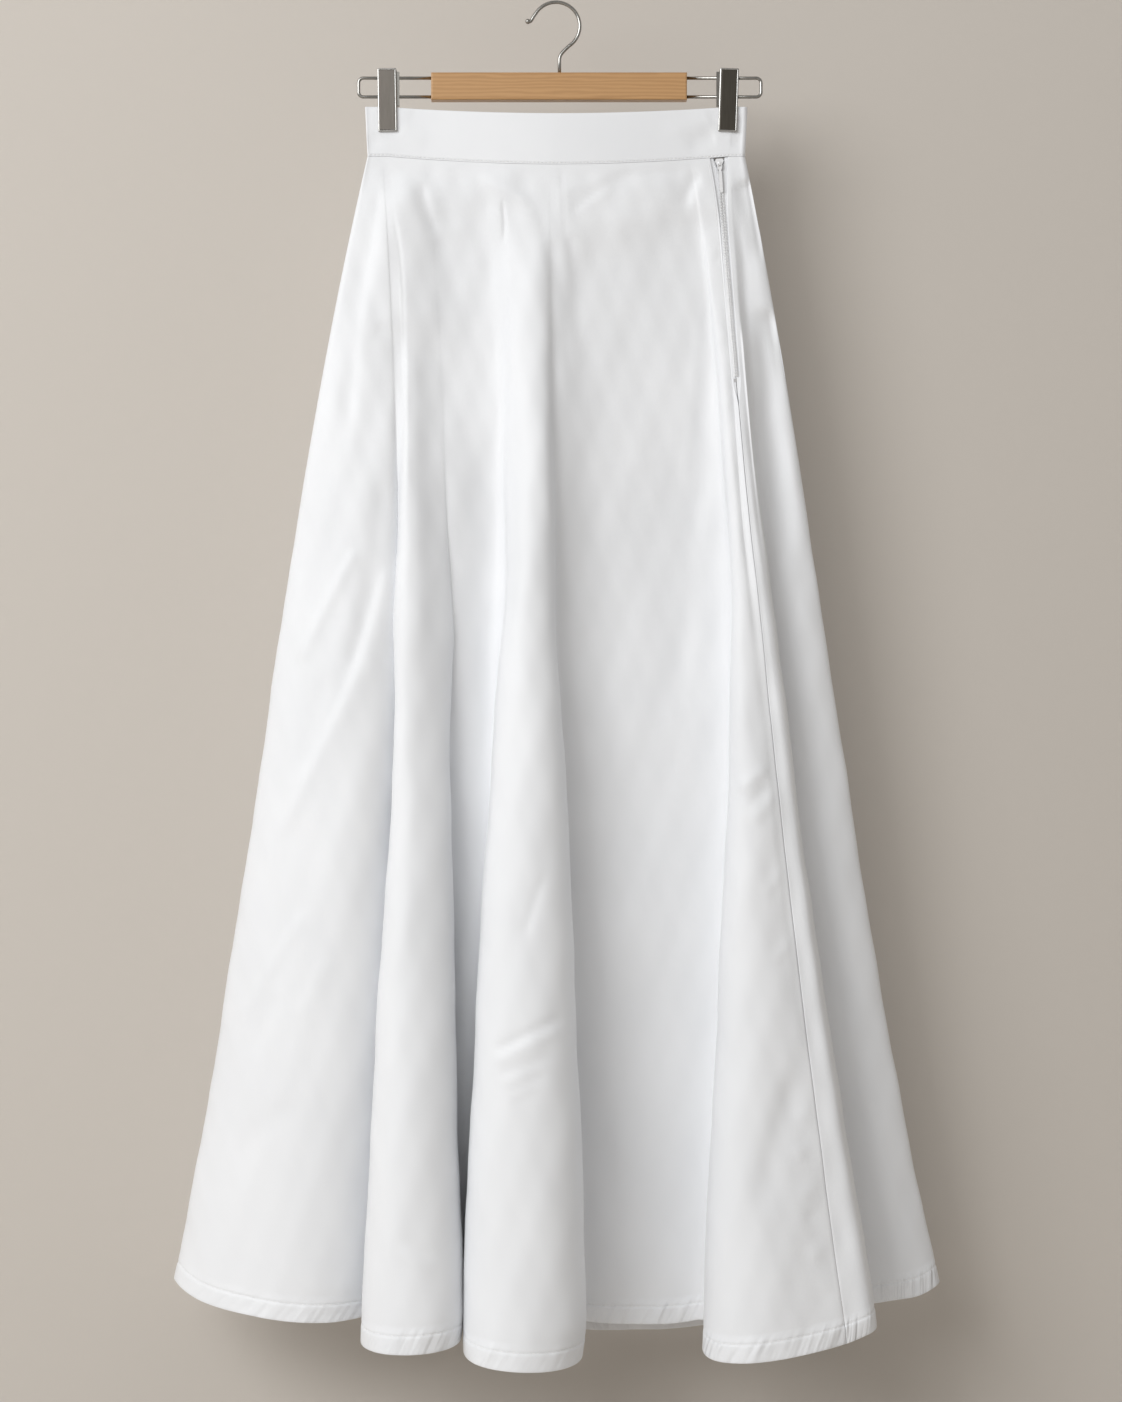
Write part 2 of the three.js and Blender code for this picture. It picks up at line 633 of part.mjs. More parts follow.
function arcKnots(centreX, centreZ, radius, fromDegrees, toDegrees, count) {
  return Array.from({ length: count + 1 }, (unused, i) => {
    const angle = THREE.MathUtils.degToRad(THREE.MathUtils.lerp(fromDegrees, toDegrees, i / count));
    return new THREE.Vector3(centreX + radius * Math.cos(angle), 0, centreZ + radius * Math.sin(angle));
  });
}

// Hook: a stem, a short bend to the side, most of a circle and a small ball at the tip
function buildHook() {
  const centreZ = HOOK_WIRE / 2 - HOOK.radius;
  const arcSteps = 20;
  const at = (x, z) => new THREE.Vector3(x, 0, z);
  const knots = [
    at(HOOK.stemX, HOOK.stemBottom),
    at(HOOK.stemX, -46.4),
    at(3.6, -43.6),
    at(5.4, -40.8),
    at(8.0, -38.0),
    ...arcKnots(0, centreZ, HOOK.radius, HOOK.arcStart, HOOK.arcEnd, arcSteps),
    at(-18.9, -10.6),
    at(-20.8, -13.9),
    at(-22.6, -15.0),
  ];
  const ball = new THREE.SphereGeometry(HOOK.tipBall / 2, 10, 8);
  ball.rotateX(Math.PI / 2);
  ball.translate(HOOK.ballX, 0, HOOK.ballZ);
  addPiece('hanger_hook', join(bentWire(knots, HOOK_WIRE, 10), ball), nickel);
}

// Wire loops: two rods out of the bar's end, joined by a rounded end
function buildLoop(side) {
  const sign = side === 'left' ? -1 : 1;
  const inner = BAR[side] - sign * (SOCKET_DEPTH - 2);
  const cornerX = LOOP_END[side] - sign * LOOP_CORNER;
  const top = LOOP_Z.top - LOOP_CORNER;
  const bottom = LOOP_Z.bottom + LOOP_CORNER;
  const mirror = (point) => point.setX(cornerX + sign * (point.x - cornerX));
  const knots = [
    new THREE.Vector3(inner, 0, LOOP_Z.top),
    ...arcKnots(cornerX, top, LOOP_CORNER, 90, 0, 4).map(mirror),
    ...arcKnots(cornerX, bottom, LOOP_CORNER, 0, -90, 4).map(mirror),
    new THREE.Vector3(inner, 0, LOOP_Z.bottom),
  ];
  addPiece(`hanger_wire_${side}`, bentWire(knots, LOOP_WIRE, 8), nickel);
}

// Clips: two flat jaws on a sleeve that slides on the wires
function buildClip(side) {
  const sign = side === 'left' ? 1 : -1;
  const x = CLIP_X[side];
  const height = JAW.top - JAW.bottom;
  const jawY = PRESSED_HALF + PIECE_GAP + JAW.thickness / 2;
  [['front', -1], ['back', 1]].forEach(([place, face]) => {
    const jaw = roundedBox(JAW.width, height, JAW.thickness, JAW.edge);
    jaw.rotateX(Math.PI / 2);
    jaw.rotateY(-THREE.MathUtils.degToRad(JAW_TILT[side]));
    jaw.translate(x, face * jawY, (JAW.top + JAW.bottom) / 2);
    addPiece(`clip_${side}_${place}`, jaw, darkNickel);
  });
  const outerX = x - sign * (JAW.width / 2 - SLEEVE.shorter);
  const innerX = x + sign * (JAW.width / 2 + SLEEVE.longer);
  const width = Math.abs(innerX - outerX);
  const sleeve = new THREE.BoxGeometry(width, 2 * PRESSED_HALF, SLEEVE.top - SLEEVE.bottom);
  sleeve.translate((innerX + outerX) / 2, 0, (SLEEVE.top + SLEEVE.bottom) / 2);
  const bores = [LOOP_Z.top, LOOP_Z.bottom].map((z) => {
    const bore = rodBetween(LOOP_WIRE / 2 + SOCKET_CLEARANCE, 2 * width, 'x');
    bore.translate(x, 0, z);
    return bore;
  });
  addPiece(`clip_${side}_sleeve`, cut(sleeve, ...bores), nickel);
}

buildPanels();
buildWaistband();
buildZipStrips();
const sliderPlace = seamGroup(SLIDER.down);
buildSlider(sliderPlace);
buildPull(sliderPlace);
buildStop();
buildBar();
buildHook();
['left', 'right'].forEach((side) => {
  buildLoop(side);
  buildClip(side);
});

export default group;
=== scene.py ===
"""A long flared white skirt with a side zip, hung by two clips from a wood and wire hanger.

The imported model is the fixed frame. The cloth is a thin shell on its solids' form: the same
table of folds gives both. Sizes are in millimetres and become metres when a mesh is made.
-Y is the front, +Y is towards the wall and +X is the side with the zip.
"""
import math

import bmesh
import bpy
import numpy as np
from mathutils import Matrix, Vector


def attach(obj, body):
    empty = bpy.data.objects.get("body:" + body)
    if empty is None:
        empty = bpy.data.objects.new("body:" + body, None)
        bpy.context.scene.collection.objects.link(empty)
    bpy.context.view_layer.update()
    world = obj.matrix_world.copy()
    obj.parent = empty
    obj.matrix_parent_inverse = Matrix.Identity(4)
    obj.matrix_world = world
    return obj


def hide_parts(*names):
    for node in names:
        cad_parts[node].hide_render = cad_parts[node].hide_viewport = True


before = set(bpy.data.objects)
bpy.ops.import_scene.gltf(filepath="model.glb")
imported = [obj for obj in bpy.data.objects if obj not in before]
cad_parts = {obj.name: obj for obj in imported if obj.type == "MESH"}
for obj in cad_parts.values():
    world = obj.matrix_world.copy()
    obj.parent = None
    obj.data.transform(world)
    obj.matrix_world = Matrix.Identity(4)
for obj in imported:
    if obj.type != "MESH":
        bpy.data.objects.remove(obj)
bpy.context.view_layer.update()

MM = 0.001
BODY = "skirt"

# Camera: level and straight on, in front of the middle of the skirt
CAMERA_X = 4.2
CAMERA_Z = -585.5
CAMERA_DISTANCE = 2500.0
PICTURE_HEIGHT = 1177.7
SENSOR = 36.0
CAMERA_CLIP = 50.0

# Cloth sizes
CLOTH_THICK = 0.9
HEM_DEPTH = 15.0
SKIRT_LENGTH = 980.0
CUT_RADIUS = 408.0
CUT_ANGLE = 1.25
HEM_START = 1 - HEM_DEPTH / SKIRT_LENGTH
HEM_SWELL = {"lift": 0.35, "over": 3.0, "groove": 0.4, "half_width": 0.9}
PUCKER = {"height": 3.6, "slant": 0.8, "stretch": (1, 0.25, 1), "above": 8.0, "below": 2.0}
PIECE_GAP = 0.3
CLIP_X = {"left": -141.5, "right": 144.7}
CLIP_GRIP = 9.0
PRESSED_HALF = 3.0
WAIST_OPENING = 6.5
BAND_TOP = {"z": -86.8, "sag": 6.5}
WAIST_SEAM = {"z": -128.7, "sag": 7.6}
BAND_FLARE = 0.013

# Zip sizes
ZIP_END = 0.19
ZIP_CLOSED = 0.215
ZIP_HALF_OPENING = 3.2
ZIP_TOP_SPREAD = 4.3
ZIP_SPREAD_END = 0.07

# Fold table, the same as the solids have: X of both sides at the levels, Y of foot and crest, Z of
# the hem and how far down it starts. A row without starts_right starts level on both sides.
LEVELS = np.array([0.0, 0.2, 0.6, 1.0])
PROFILES = {
    "sweep": [(0, 0, 0), (0.12, 0.44, 0), (0.35, 0.8, 0), (0.62, 1, 0), (0.86, 0.84, 0)],
    "tucked": [(0, 0, 1), (0, 0.5, 0), (0.14, 0.87, 0), (0.5, 1, 0), (0.86, 0.87, 0), (1, 0.5, 0),
               (1, 0, -1)],
    "lapped": [(0, 0, 1), (0, 0.5, 0), (0.13, 0.86, 0), (0.43, 1, 0), (0.75, 0.93, 0), (1, 0.8, 0)],
    "strip": [(0.75, 0.74, 0), (1, 0.58, 0), (1, 0.1, -1)],
    "flat": [(0.25, 0, 0), (0.5, 0, 0), (0.75, 0, 0)],
    "line": [(0.5, 0, 0)],
    "soft": [(0, 0, 0), (0.27, 0.72, 0), (0.5, 1, 0), (0.73, 0.72, 0)],
}
TUCK_GROWTH = np.array([-0.28, -0.4, 0.6, 1.0])
LIFT_POWER = 0.6
FOLD_COLUMNS = ("name", "profile", "face", "left", "right", "foot", "crest", "hem", "peak", "tuck", "starts",
                "starts_right")
FOLDS = [
    ("left_sweep", "sweep", -1, (-157.9, -196.6, -256.2, -321.5), (-144, -128.5, -133, -150),
     8, -56, (-1072, -1096, -1084), 0.62, 0, 0.02),
    ("fold_a", "tucked", -1, (-141, -129.2, -140.5, -160.6), (-110, -96, -89, -77.5),
     -10, -106, (-1097, -1112, -1095), 0.5, 15, 0.13, 0.34),
    ("valley_ab", "line", -1, (-82, -68, -72, -78), (-82, -68, -72, -78),
     -8, -8, (-1103, -1103, -1103), 0.5, 0, 0.06),
    ("fold_b", "tucked", -1, (-45, -41.5, -60, -77.5), (-5, -3.5, 7.9, 22.5),
     -10, -119, (-1100, -1123, -1104), 0.5, 17, 0.11),
    ("recess", "flat", -1, (-2, -3, 0, 5), (126, 150, 145, 134),
     -6, -6, (-1107, -1107, -1108), 0.5, 0, 0.05),
    ("fold_c", "lapped", -1, (113, 136.5, 137.5, 118.2), (136.5, 151.3, 187.7, 235.8),
     -10, -95, (-1103, -1120, -1088), 0.43, 10, 0.03),
    ("strip", "strip", -1, (136.5, 151.3, 187.7, 235.8), (147, 159.5, 204, 262.5),
     -8, -95, (-1106, -1106, -1090), 0.5, 10, 0.03),
    ("right_flat", "flat", -1, (150, 161, 198, 250), (158.8, 194.2, 253, 326),
     -5, -5, (-1094, -1087, -1080), 0.5, 0, 0),
    ("right_edge", "line", 0, (158.8, 194.2, 253, 326), (158.8, 194.2, 253, 326),
     10, 10, (-1073, -1073, -1073), 0.5, 0, 0),
    ("back_d", "soft", 1, (154, 182, 234, 296), (78, 88, 112, 142),
     36, 80, (-1086, -1110, -1114), 0.5, 0, 0.03),
    ("back_e", "soft", 1, (78, 88, 112, 142), (-12, -20, -16, -14),
     34, 84, (-1114, -1131, -1116), 0.5, 0, 0.05),
    ("back_f", "soft", 1, (-12, -20, -16, -14), (-108, -128, -164, -206),
     34, 80, (-1116, -1117, -1107), 0.5, 0, 0.04),
    ("back_g", "soft", 1, (-108, -128, -164, -206), (-154, -188, -240, -296),
     34, 58, (-1107, -1100, -1088), 0.5, 0, 0.02),
    ("left_turn", "line", 1, (-156.5, -194, -252, -314), (-156.5, -194, -252, -314),
     28, 28, (-1079, -1079, -1079), 0.5, 0, 0.02),
]


def lerp(a, b, share):
    return a + (b - a) * share


def smoothstep(value, low, high):
    share = np.clip((value - low) / (high - low), 0, 1)
    return share * share * (3 - 2 * share)


# Hang lines
def make_lines():
    """Every fold's hang lines in order round the skirt, and where each fold's first line is."""
    x, y, z, face, starts, first = [], [], [], [], [], {}
    for row in FOLDS:
        fold = dict(zip(FOLD_COLUMNS, row))
        left, right = np.array(fold["left"], float), np.array(fold["right"], float)
        low, crest, high = fold["hem"]
        first[fold["name"]] = len(x)
        lift = crest - lerp(low, high, fold["peak"])
        for across, out, tuck in PROFILES[fold["profile"]]:
            x.append(lerp(left, right, across) + tuck * fold["tuck"] * TUCK_GROWTH)
            y.append(lerp(fold["foot"], fold["crest"], out))
            z.append(lerp(low, high, across) + lift * out ** LIFT_POWER)
            face.append(fold["face"])
            starts.append(lerp(fold["starts"], fold.get("starts_right", fold["starts"]), across))
    return np.array(x), np.array(y), np.array(z), np.array(face), np.array(starts), first


LINE_X, LINE_Y, LINE_Z, LINE_FACE, LINE_STARTS, FIRST = make_lines()
LINES = len(LINE_X)
ZIP_SEAM = FIRST["fold_c"] + 5
REAR_SEAM = FIRST["back_g"] + 2


def between_clips(x, left, right):
    return np.sin(math.pi * np.clip((x - left) / (right - left), 0, 1))


def waist_half(x):
    free = between_clips(x, CLIP_X["left"] + CLIP_GRIP, CLIP_X["right"] - CLIP_GRIP)
    return PRESSED_HALF + WAIST_OPENING * free ** 1.5


def edge_height(edge, x):
    """Height of the band's top or of its seam, which sag between the clips."""
    return edge["z"] - edge["sag"] * between_clips(x, CLIP_X["left"], CLIP_X["right"])


def at_height(values, down):
    """Values given at the four levels, at any height: one row for each height."""
    total = 0
    for i, level in enumerate(LEVELS):
        weight = 1.0
        for j, other in enumerate(LEVELS):
            if j != i:
                weight = weight * (down - other) / (level - other)
        total = total + values[None, :, i] * weight
    return total


def fold_growth(down, starts):
    softness = 0.09

    def bend(share):
        return 0.5 * (np.hypot(share - starts, softness) + share - starts)

    return (bend(down) - bend(0)) / (bend(1) - bend(0))


def hang_rows(down):
    """Where each hang line is at each height, sharpened so that the spline runs through them."""
    down = down[:, None]
    waist_x = LINE_X[None, :, 0]
    waist_y = LINE_FACE[None, :] * waist_half(waist_x)
    waist_z = edge_height(WAIST_SEAM, waist_x)
    growth = fold_growth(down, LINE_STARTS[None, :])
    places = np.stack([
        at_height(LINE_X, down),
        lerp(waist_y, LINE_Y[None, :], growth),
        lerp(waist_z, LINE_Z[None, :], down),
    ], axis=-1)
    return places * 8 / 6 - (np.roll(places, 1, 1) + np.roll(places, -1, 1)) / 6


def smooth_point(around, down):
    """Places on the cloth's outer face before its creases."""
    around, down = np.broadcast_arrays(around, down)
    heights, which = np.unique(down.ravel(), return_inverse=True)
    rows = hang_rows(heights)
    first = np.floor(around.ravel()).astype(int)
    f = around.ravel() - first
    weights = (
        (1 - f) ** 3 / 6,
        (3 * f ** 3 - 6 * f ** 2 + 4) / 6,
        (-3 * f ** 3 + 3 * f ** 2 + 3 * f + 1) / 6,
        f ** 3 / 6,
    )
    point = sum(w[:, None] * rows[which, (first - 1 + k) % LINES] for k, w in enumerate(weights))
    return point.reshape(around.shape + (3,))


def unit(v):
    return v / np.maximum(np.linalg.norm(v, axis=-1, keepdims=True), 1e-12)


def cloth_frame(around, down):
    """Directions down the cloth, across it and out of it, and the speed across per hang line."""
    step_down, step_round = 0.002, 0.01
    around, down = np.broadcast_arrays(around, down)
    low, high = np.maximum(down - step_down, 0), np.minimum(down + step_down, 1)
    along = unit(smooth_point(around, high) - smooth_point(around, low))
    across = smooth_point(around + step_round, down) - smooth_point(around - step_round, down)
    speed = np.linalg.norm(across, axis=-1) / (2 * step_round)
    return along, unit(across), unit(np.cross(along, across)), speed


def beside_seam(seam, distance, down):
    """The place round the skirt that lies a distance beside a seam."""
    steps = 10
    down = np.asarray(down, float)
    around = np.full(down.shape, float(seam))
    for _ in range(steps):
        around = around + distance / steps / cloth_frame(around, down)[3]
    return around


def zip_half_gap(down):
    spread = np.maximum(0, 1 - down / ZIP_SPREAD_END)
    open_half = ZIP_HALF_OPENING + ZIP_TOP_SPREAD * spread ** 2
    return lerp(open_half, PIECE_GAP / 2, smoothstep(down, ZIP_END, ZIP_CLOSED))


# Creases, listed under the zone where they may lie: height (a trough is below 0),
# half-width on each side, lengths over which the start and the end fade, and path as (X, Z).
# The first side is the left of a path that runs down, and the underside of one that runs right.
ZONES = {
    "front": (0, ZIP_SEAM),
    "sweep": (0, FIRST["fold_a"] + 1),
    "fold_a": (FIRST["fold_a"] + 0.6, FIRST["fold_a"] + 6.4),
    "fold_b": (FIRST["fold_b"] + 0.6, FIRST["fold_b"] + 6.4),
    "valley": (FIRST["fold_a"] + 5.6, FIRST["fold_b"] + 0.8),
    "recess": (FIRST["fold_b"] + 5.5, FIRST["fold_c"] + 1.5),
    "fold_c": (FIRST["fold_c"] + 0.6, ZIP_SEAM),
    "crown_c": (FIRST["fold_c"] + 0.6, ZIP_SEAM + 3),
    "strip": (ZIP_SEAM, ZIP_SEAM + 3),
    "right": (ZIP_SEAM + 1, FIRST["right_edge"]),
    "rear": (FIRST["right_edge"] + 1, LINES - 1),
}
CREASES = {
    "front": [
        # Upper left, from the clip to the second fold
        (-1.3, 9, 6, 25, 60, (-149, -150), (-157, -206), (-166, -257), (-173, -333), (-178, -392)),
        (5.0, 26, 26, 30, 40, (-132, -140), (-127, -190), (-121, -240), (-118, -300)),
        (4.0, 28, 11, 45, 80, (-120, -270), (-119, -345), (-118, -410), (-118, -480), (-118, -580)),
        (8.0, 40, 25, 110, 120, (-94, -300), (-90, -380), (-88, -480), (-88, -560), (-90, -640)),
        (-0.7, 7, 6, 6, 14, (-152, -272), (-141, -277), (-130, -275)),
        (-0.45, 2, 2, 15, 40, (-136, -178), (-131, -207), (-128, -245), (-127, -300), (-127, -350)),
        (-1.6, 7, 5, 10, 14, (-114, -150), (-107, -178), (-97, -196)),
        (-0.9, 9, 9, 18, 35, (-97, -188), (-88, -225), (-80, -262)),
        (0.8, 9, 9, 14, 30, (-86, -180), (-77, -222), (-70, -258)),
        (-0.9, 8, 8, 16, 30, (-60, -158), (-57, -205), (-54, -250)),
        (-9.0, 46, 13, 80, 140, (-76, -150), (-63, -220), (-52, -300), (-46, -380), (-45, -480), (-47, -600)),
        (1.0, 9, 6, 20, 40, (-66, -143), (-45, -155), (-26, -168), (-16, -192), (-13, -228)),
        (0.5, 3, 4, 8, 8, (-65, -149), (-40, -160), (-22, -171)),
        # The middle fold's start and the two valleys beside it
        (-0.9, 2, 2, 6, 8, (-45, -166), (-43, -186), (-44, -202)),
        (-0.5, 1.6, 1.6, 25, 60, (-40, -280), (-42, -350), (-45, -420), (-47, -500)),
        (-1.2, 6, 6, 20, 80, (-5, -196), (-3, -245), (-2, -330), (1, -400), (3, -480)),
        (5.6, 24, 36, 50, 160, (-20, -190), (-13, -235), (-9, -290), (-6, -360), (-4, -430), (-2, -560)),
        (-8.0, 48, 110, 50, 180, (38, -180), (46, -245), (54, -330), (58, -420), (62, -520), (64, -620)),
        (-7.0, 32, 90, 60, 160, (38, -200), (42, -300), (46, -420), (50, -520), (53, -620), (57, -800)),
        (0.4, 4, 4, 20, 30, (4, -190), (9, -235), (14, -280), (20, -330)),
        (-0.9, 3, 8, 6, 40, (11, -195), (17, -235), (23, -285)),
        (-0.35, 1.5, 1.5, 8, 8, (4, -136), (6, -165), (9, -200)),
        # The fan of fine creases at the centre and the shade below the band
        (0.5, 3, 4, 10, 20, (0, -162), (34, -150), (70, -141)),
        (-0.6, 3, 3, 8, 8, (10, -178), (30, -162), (45, -153)),
        (0.5, 3, 3, 8, 8, (16, -179), (36, -164), (50, -153)),
        (-1.2, 8, 4, 20, 12, (36, -150), (70, -142), (112, -137)),
        # Drag folds from the top of the zip
        (-1.6, 6, 4, 6, 15, (121, -143), (112, -157), (107, -176)),
        (-5.0, 38, 14, 30, 70, (134, -168), (124, -198), (113, -224), (107, -265), (104, -310), (98, -350)),
        (1.0, 12, 11, 30, 60, (138, -178), (128, -205), (119, -245), (111, -290), (104, -335), (92, -378)),
        (-3.8, 8, 8, 40, 90, (138, -228), (134, -240), (130, -262), (128, -288), (127, -335),
         (121, -392), (114, -450)),
        (1.0, 5, 3.5, 10, 60, (128, -243), (121, -265), (118, -290), (116, -335), (109, -392), (103, -440)),
        (-0.8, 3, 3, 4, 4, (138, -209), (132, -222)),
        (-0.5, 2, 3, 10, 14, (131, -287), (135, -308), (134, -333), (137, -356)),
        (0.5, 3, 3, 5, 5, (137, -345), (144, -336), (152, -324)),
        (0.6, 4, 4, 5, 5, (128, -292), (136, -283), (145, -276)),
        # Fine slanting creases in the flat part beside the middle fold
        (0.5, 3, 2.5, 12, 12, (24, -310), (48, -300), (72, -291)),
        (-0.5, 3, 2.5, 12, 12, (26, -315), (50, -305), (70, -297)),
        (0.4, 3, 2.5, 8, 8, (28, -350), (42, -342), (58, -334)),
        (0.4, 3, 2.5, 10, 16, (36, -292), (55, -285), (88, -281)),
        (0.7, 4, 3, 10, 12, (56, -391), (75, -384), (98, -377)),
    ],
    "recess": [
        (-4.8, 24, 11, 40, 70, (124, -374), (114, -433), (108, -492), (103, -560), (101, -620)),
    ],
    "sweep": [
        # Left sweep
        (1.3, 3.5, 7, 12, 12, (-165, -456), (-185, -492), (-205, -530), (-216, -554)),
        (-2.2, 9, 10, 35, 30, (-141, -390), (-148, -450), (-158, -509), (-172, -572)),
        (1.6, 4, 10, 20, 35, (-138, -467), (-152, -520), (-171, -576), (-194, -622), (-215, -665),
         (-233, -704)),
        (-1.1, 8, 8, 25, 25, (-188, -556), (-204, -610), (-218, -656)),
        (0.9, 4, 6, 20, 20, (-205, -755), (-227, -790), (-250, -828), (-266, -857)),
        (-0.8, 6, 6, 15, 15, (-230, -826), (-245, -860), (-257, -884)),
        (0.6, 6, 8, 15, 15, (-188, -795), (-203, -828), (-216, -853)),
        (3.8, 32, 22, 160, 30, (-150, -480), (-149, -650), (-151, -800), (-157, -950), (-168, -1098)),
        (-0.8, 10, 10, 25, 30, (-213, -913), (-257, -955), (-284, -1012)),
    ],
    "fold_a": [
        # Second fold
        (6.2, 32, 5, 260, 40, (-91, -560), (-88, -700), (-86, -850), (-83, -1000), (-81, -1122)),
        (0.5, 7, 7, 60, 60, (-118, -580), (-120, -700), (-124, -820)),
        (-0.5, 5, 5, 8, 8, (-129, -1018), (-112, -1028), (-98, -1035)),
        (0.5, 5, 5, 8, 8, (-129, -1030), (-112, -1040), (-98, -1047)),
    ],
    "valley": [
        # The valley before the middle fold
        (-4.0, 17, 8, 140, 120, (-54, -440), (-57, -560), (-60, -680)),
        (9.0, 20, 16, 140, 60, (-72, -700), (-76, -850), (-79, -1000), (-81, -1110)),
    ],
    "fold_b": [
        # Middle fold
        (6.2, 36, 6, 200, 40, (4, -500), (9, -650), (12, -800), (15, -950), (18, -1128)),
        (-0.9, 3.5, 3.5, 10, 14, (-9, -724), (-17, -748), (-27, -781)),
        (-1.2, 4, 3.5, 10, 8, (-52, -871), (-22, -855), (4, -842)),
        (0.9, 4, 4, 10, 8, (-52, -880), (-22, -865), (2, -853)),
        (-0.8, 4, 3.5, 10, 10, (-49, -890), (-30, -883), (-3, -872)),
        (-0.7, 4, 3.5, 10, 10, (-45, -904), (-26, -896), (-5, -886)),
        (-0.5, 4, 3.5, 8, 8, (-40, -914), (-26, -908), (-11, -901)),
    ],
    "crown_c": [
        # The fold beside the zip's seam, with the seam's own puckers
        (5.0, 42, 6, 240, 30, (150, -300), (160, -400), (178, -540), (199, -720), (221, -880),
         (246, -1040), (258, -1118)),
    ],
    "fold_c": [
        (-0.8, 2.5, 2.5, 40, 60, (140, -372), (139.5, -467), (137.5, -584), (137, -694), (137.5, -756)),
        (-2.0, 12, 14, 25, 35, (202, -885), (184, -930), (176, -963), (172, -1008)),
        (1.2, 4.5, 6, 8, 4, (149, -661), (162, -650), (172, -640)),
        (-0.8, 4, 4, 8, 4, (155, -673), (166, -664), (175, -655)),
        (1.0, 4.5, 5, 8, 4, (159, -686), (170, -675), (179, -663)),
        (0.7, 4.5, 5, 8, 4, (168, -746), (178, -735), (189, -721)),
        (0.8, 4.5, 5, 8, 4, (176, -801), (186, -790), (197, -777)),
        (1.0, 5, 6, 8, 4, (196, -931), (207, -920), (216, -910)),
        (1.0, 5, 6, 8, 4, (192, -958), (206, -950), (219, -939)),
        (0.9, 5, 6, 8, 4, (196, -991), (210, -982), (223, -969)),
        (-1.0, 5, 5, 8, 4, (200, -1011), (214, -1001), (227, -991)),
        (1.2, 5, 6, 8, 4, (204, -1041), (218, -1030), (231, -1017)),
        (1.1, 5, 6, 8, 4, (213, -1067), (226, -1053), (235, -1039)),
        (0.6, 4.5, 3, 60, 20, (143, -345), (157, -480), (182, -730), (205, -900), (231, -1105)),
    ],
    "strip": [
        # The strip between the seam and the last valley
        (0.9, 5, 3, 60, 120, (150, -300), (156, -360), (168, -480), (184, -610), (196, -720)),
        (1.4, 9, 5, 180, 30, (181, -620), (197, -730), (218, -880), (238, -1010), (253, -1112)),
    ],
    "right": [
        # Right of the zip
        (-4.4, 18, 8, 8, 25, (164, -144), (171, -161), (179, -186), (187, -222)),
        (0.8, 5, 6, 12, 30, (147, -150), (156, -185), (163, -215), (168, -252)),
        (-5.0, 12, 13, 14, 90, (182, -254), (180, -275), (181, -333), (186, -420), (191, -500)),
        (3.0, 9, 10, 30, 90, (160, -262), (161, -300), (163, -350), (168, -420), (174, -520)),
        (1.3, 6, 7, 25, 50, (181, -272), (192, -350), (200, -400), (212, -462)),
    ],
    "rear": [
        # Rear: like creases, from the two clips and across the flutes
        (-1.8, 8, 7, 14, 50, (128, -150), (120, -190), (104, -245), (96, -320), (92, -380)),
        (1.4, 8, 8, 16, 60, (120, -160), (108, -200), (92, -262), (82, -345)),
        (-1.4, 7, 8, 14, 50, (-124, -152), (-117, -198), (-104, -256), (-97, -330)),
        (1.3, 7, 7, 16, 50, (-113, -160), (-103, -204), (-88, -268), (-80, -340)),
        (-1.2, 6, 7, 14, 40, (-46, -160), (-40, -206), (-37, -262)),
        (-2.0, 7, 6, 18, 70, (30, -185), (33, -240), (38, -320), (42, -400)),
        (1.0, 6, 9, 16, 40, (60, -148), (44, -160), (24, -172), (14, -200), (10, -240)),
        (-0.35, 1.5, 1.5, 8, 8, (1, -137), (0, -165), (-2, -198)),
        (0.5, 3, 4, 10, 14, (-70, -146), (-38, -153), (-6, -165)),
        (0.5, 3, 2.5, 12, 12, (-40, -330), (-22, -322), (6, -312)),
        (1.2, 4, 7, 14, 18, (178, -470), (196, -520), (214, -566)),
        (-1.6, 9, 9, 30, 30, (160, -430), (172, -500), (188, -575)),
        (1.0, 4, 8, 20, 25, (-170, -560), (-192, -628), (-214, -690)),
        (-0.9, 3.5, 3.5, 10, 12, (52, -760), (60, -790), (70, -822)),
        (-1.0, 4, 3.5, 10, 8, (12, -905), (40, -892), (66, -880)),
        (0.8, 4, 4, 10, 8, (12, -915), (40, -902), (66, -891)),
        (-0.8, 4, 3.5, 10, 8, (-124, -868), (-98, -858), (-70, -844)),
        (0.9, 5, 6, 15, 20, (-196, -800), (-212, -836), (-232, -884)),
    ],
}
BAND_DENTS = {
    "front": [
        (-0.7, 9, 7, 6, 12, (-149, -109), (-152, -118), (-150, -127)),
        (0.5, 8, 8, 6, 14, (-131, -104), (-120, -112), (-104, -118)),
        (-0.5, 10, 8, 8, 20, (-126, -92), (-104, -99), (-80, -103)),
        (-0.9, 9, 7, 6, 14, (134, -107), (122, -116), (106, -122)),
        (0.6, 8, 7, 6, 16, (132, -96), (112, -104), (88, -108)),
    ],
    "right": [
        (-0.9, 6, 5, 6, 6, (155, -92), (154, -108), (152, -124)),
    ],
    "rear": [
        (-0.7, 9, 7, 6, 12, (132, -108), (118, -116), (100, -121)),
        (0.5, 8, 8, 6, 14, (-128, -104), (-112, -112), (-94, -117)),
    ],
}
# How far the band's edge is from the panels, and its stitches from its edge
BAND_GAP = 0.1
BAND_STITCH = 1.5
# Above the first of these places creases lift the cloth straight out, less where it faces sideways
STRAIGHT_LIFT = (0.24, 0.42)
FACING_SOFT = 0.06
# The deepest that troughs can be at two places down the skirt, and where creases reach full height
TROUGH_LIMIT = (6.0, 14.0)
TROUGH_HEIGHTS = (0.05, 0.4)
CREASE_START = 0.012
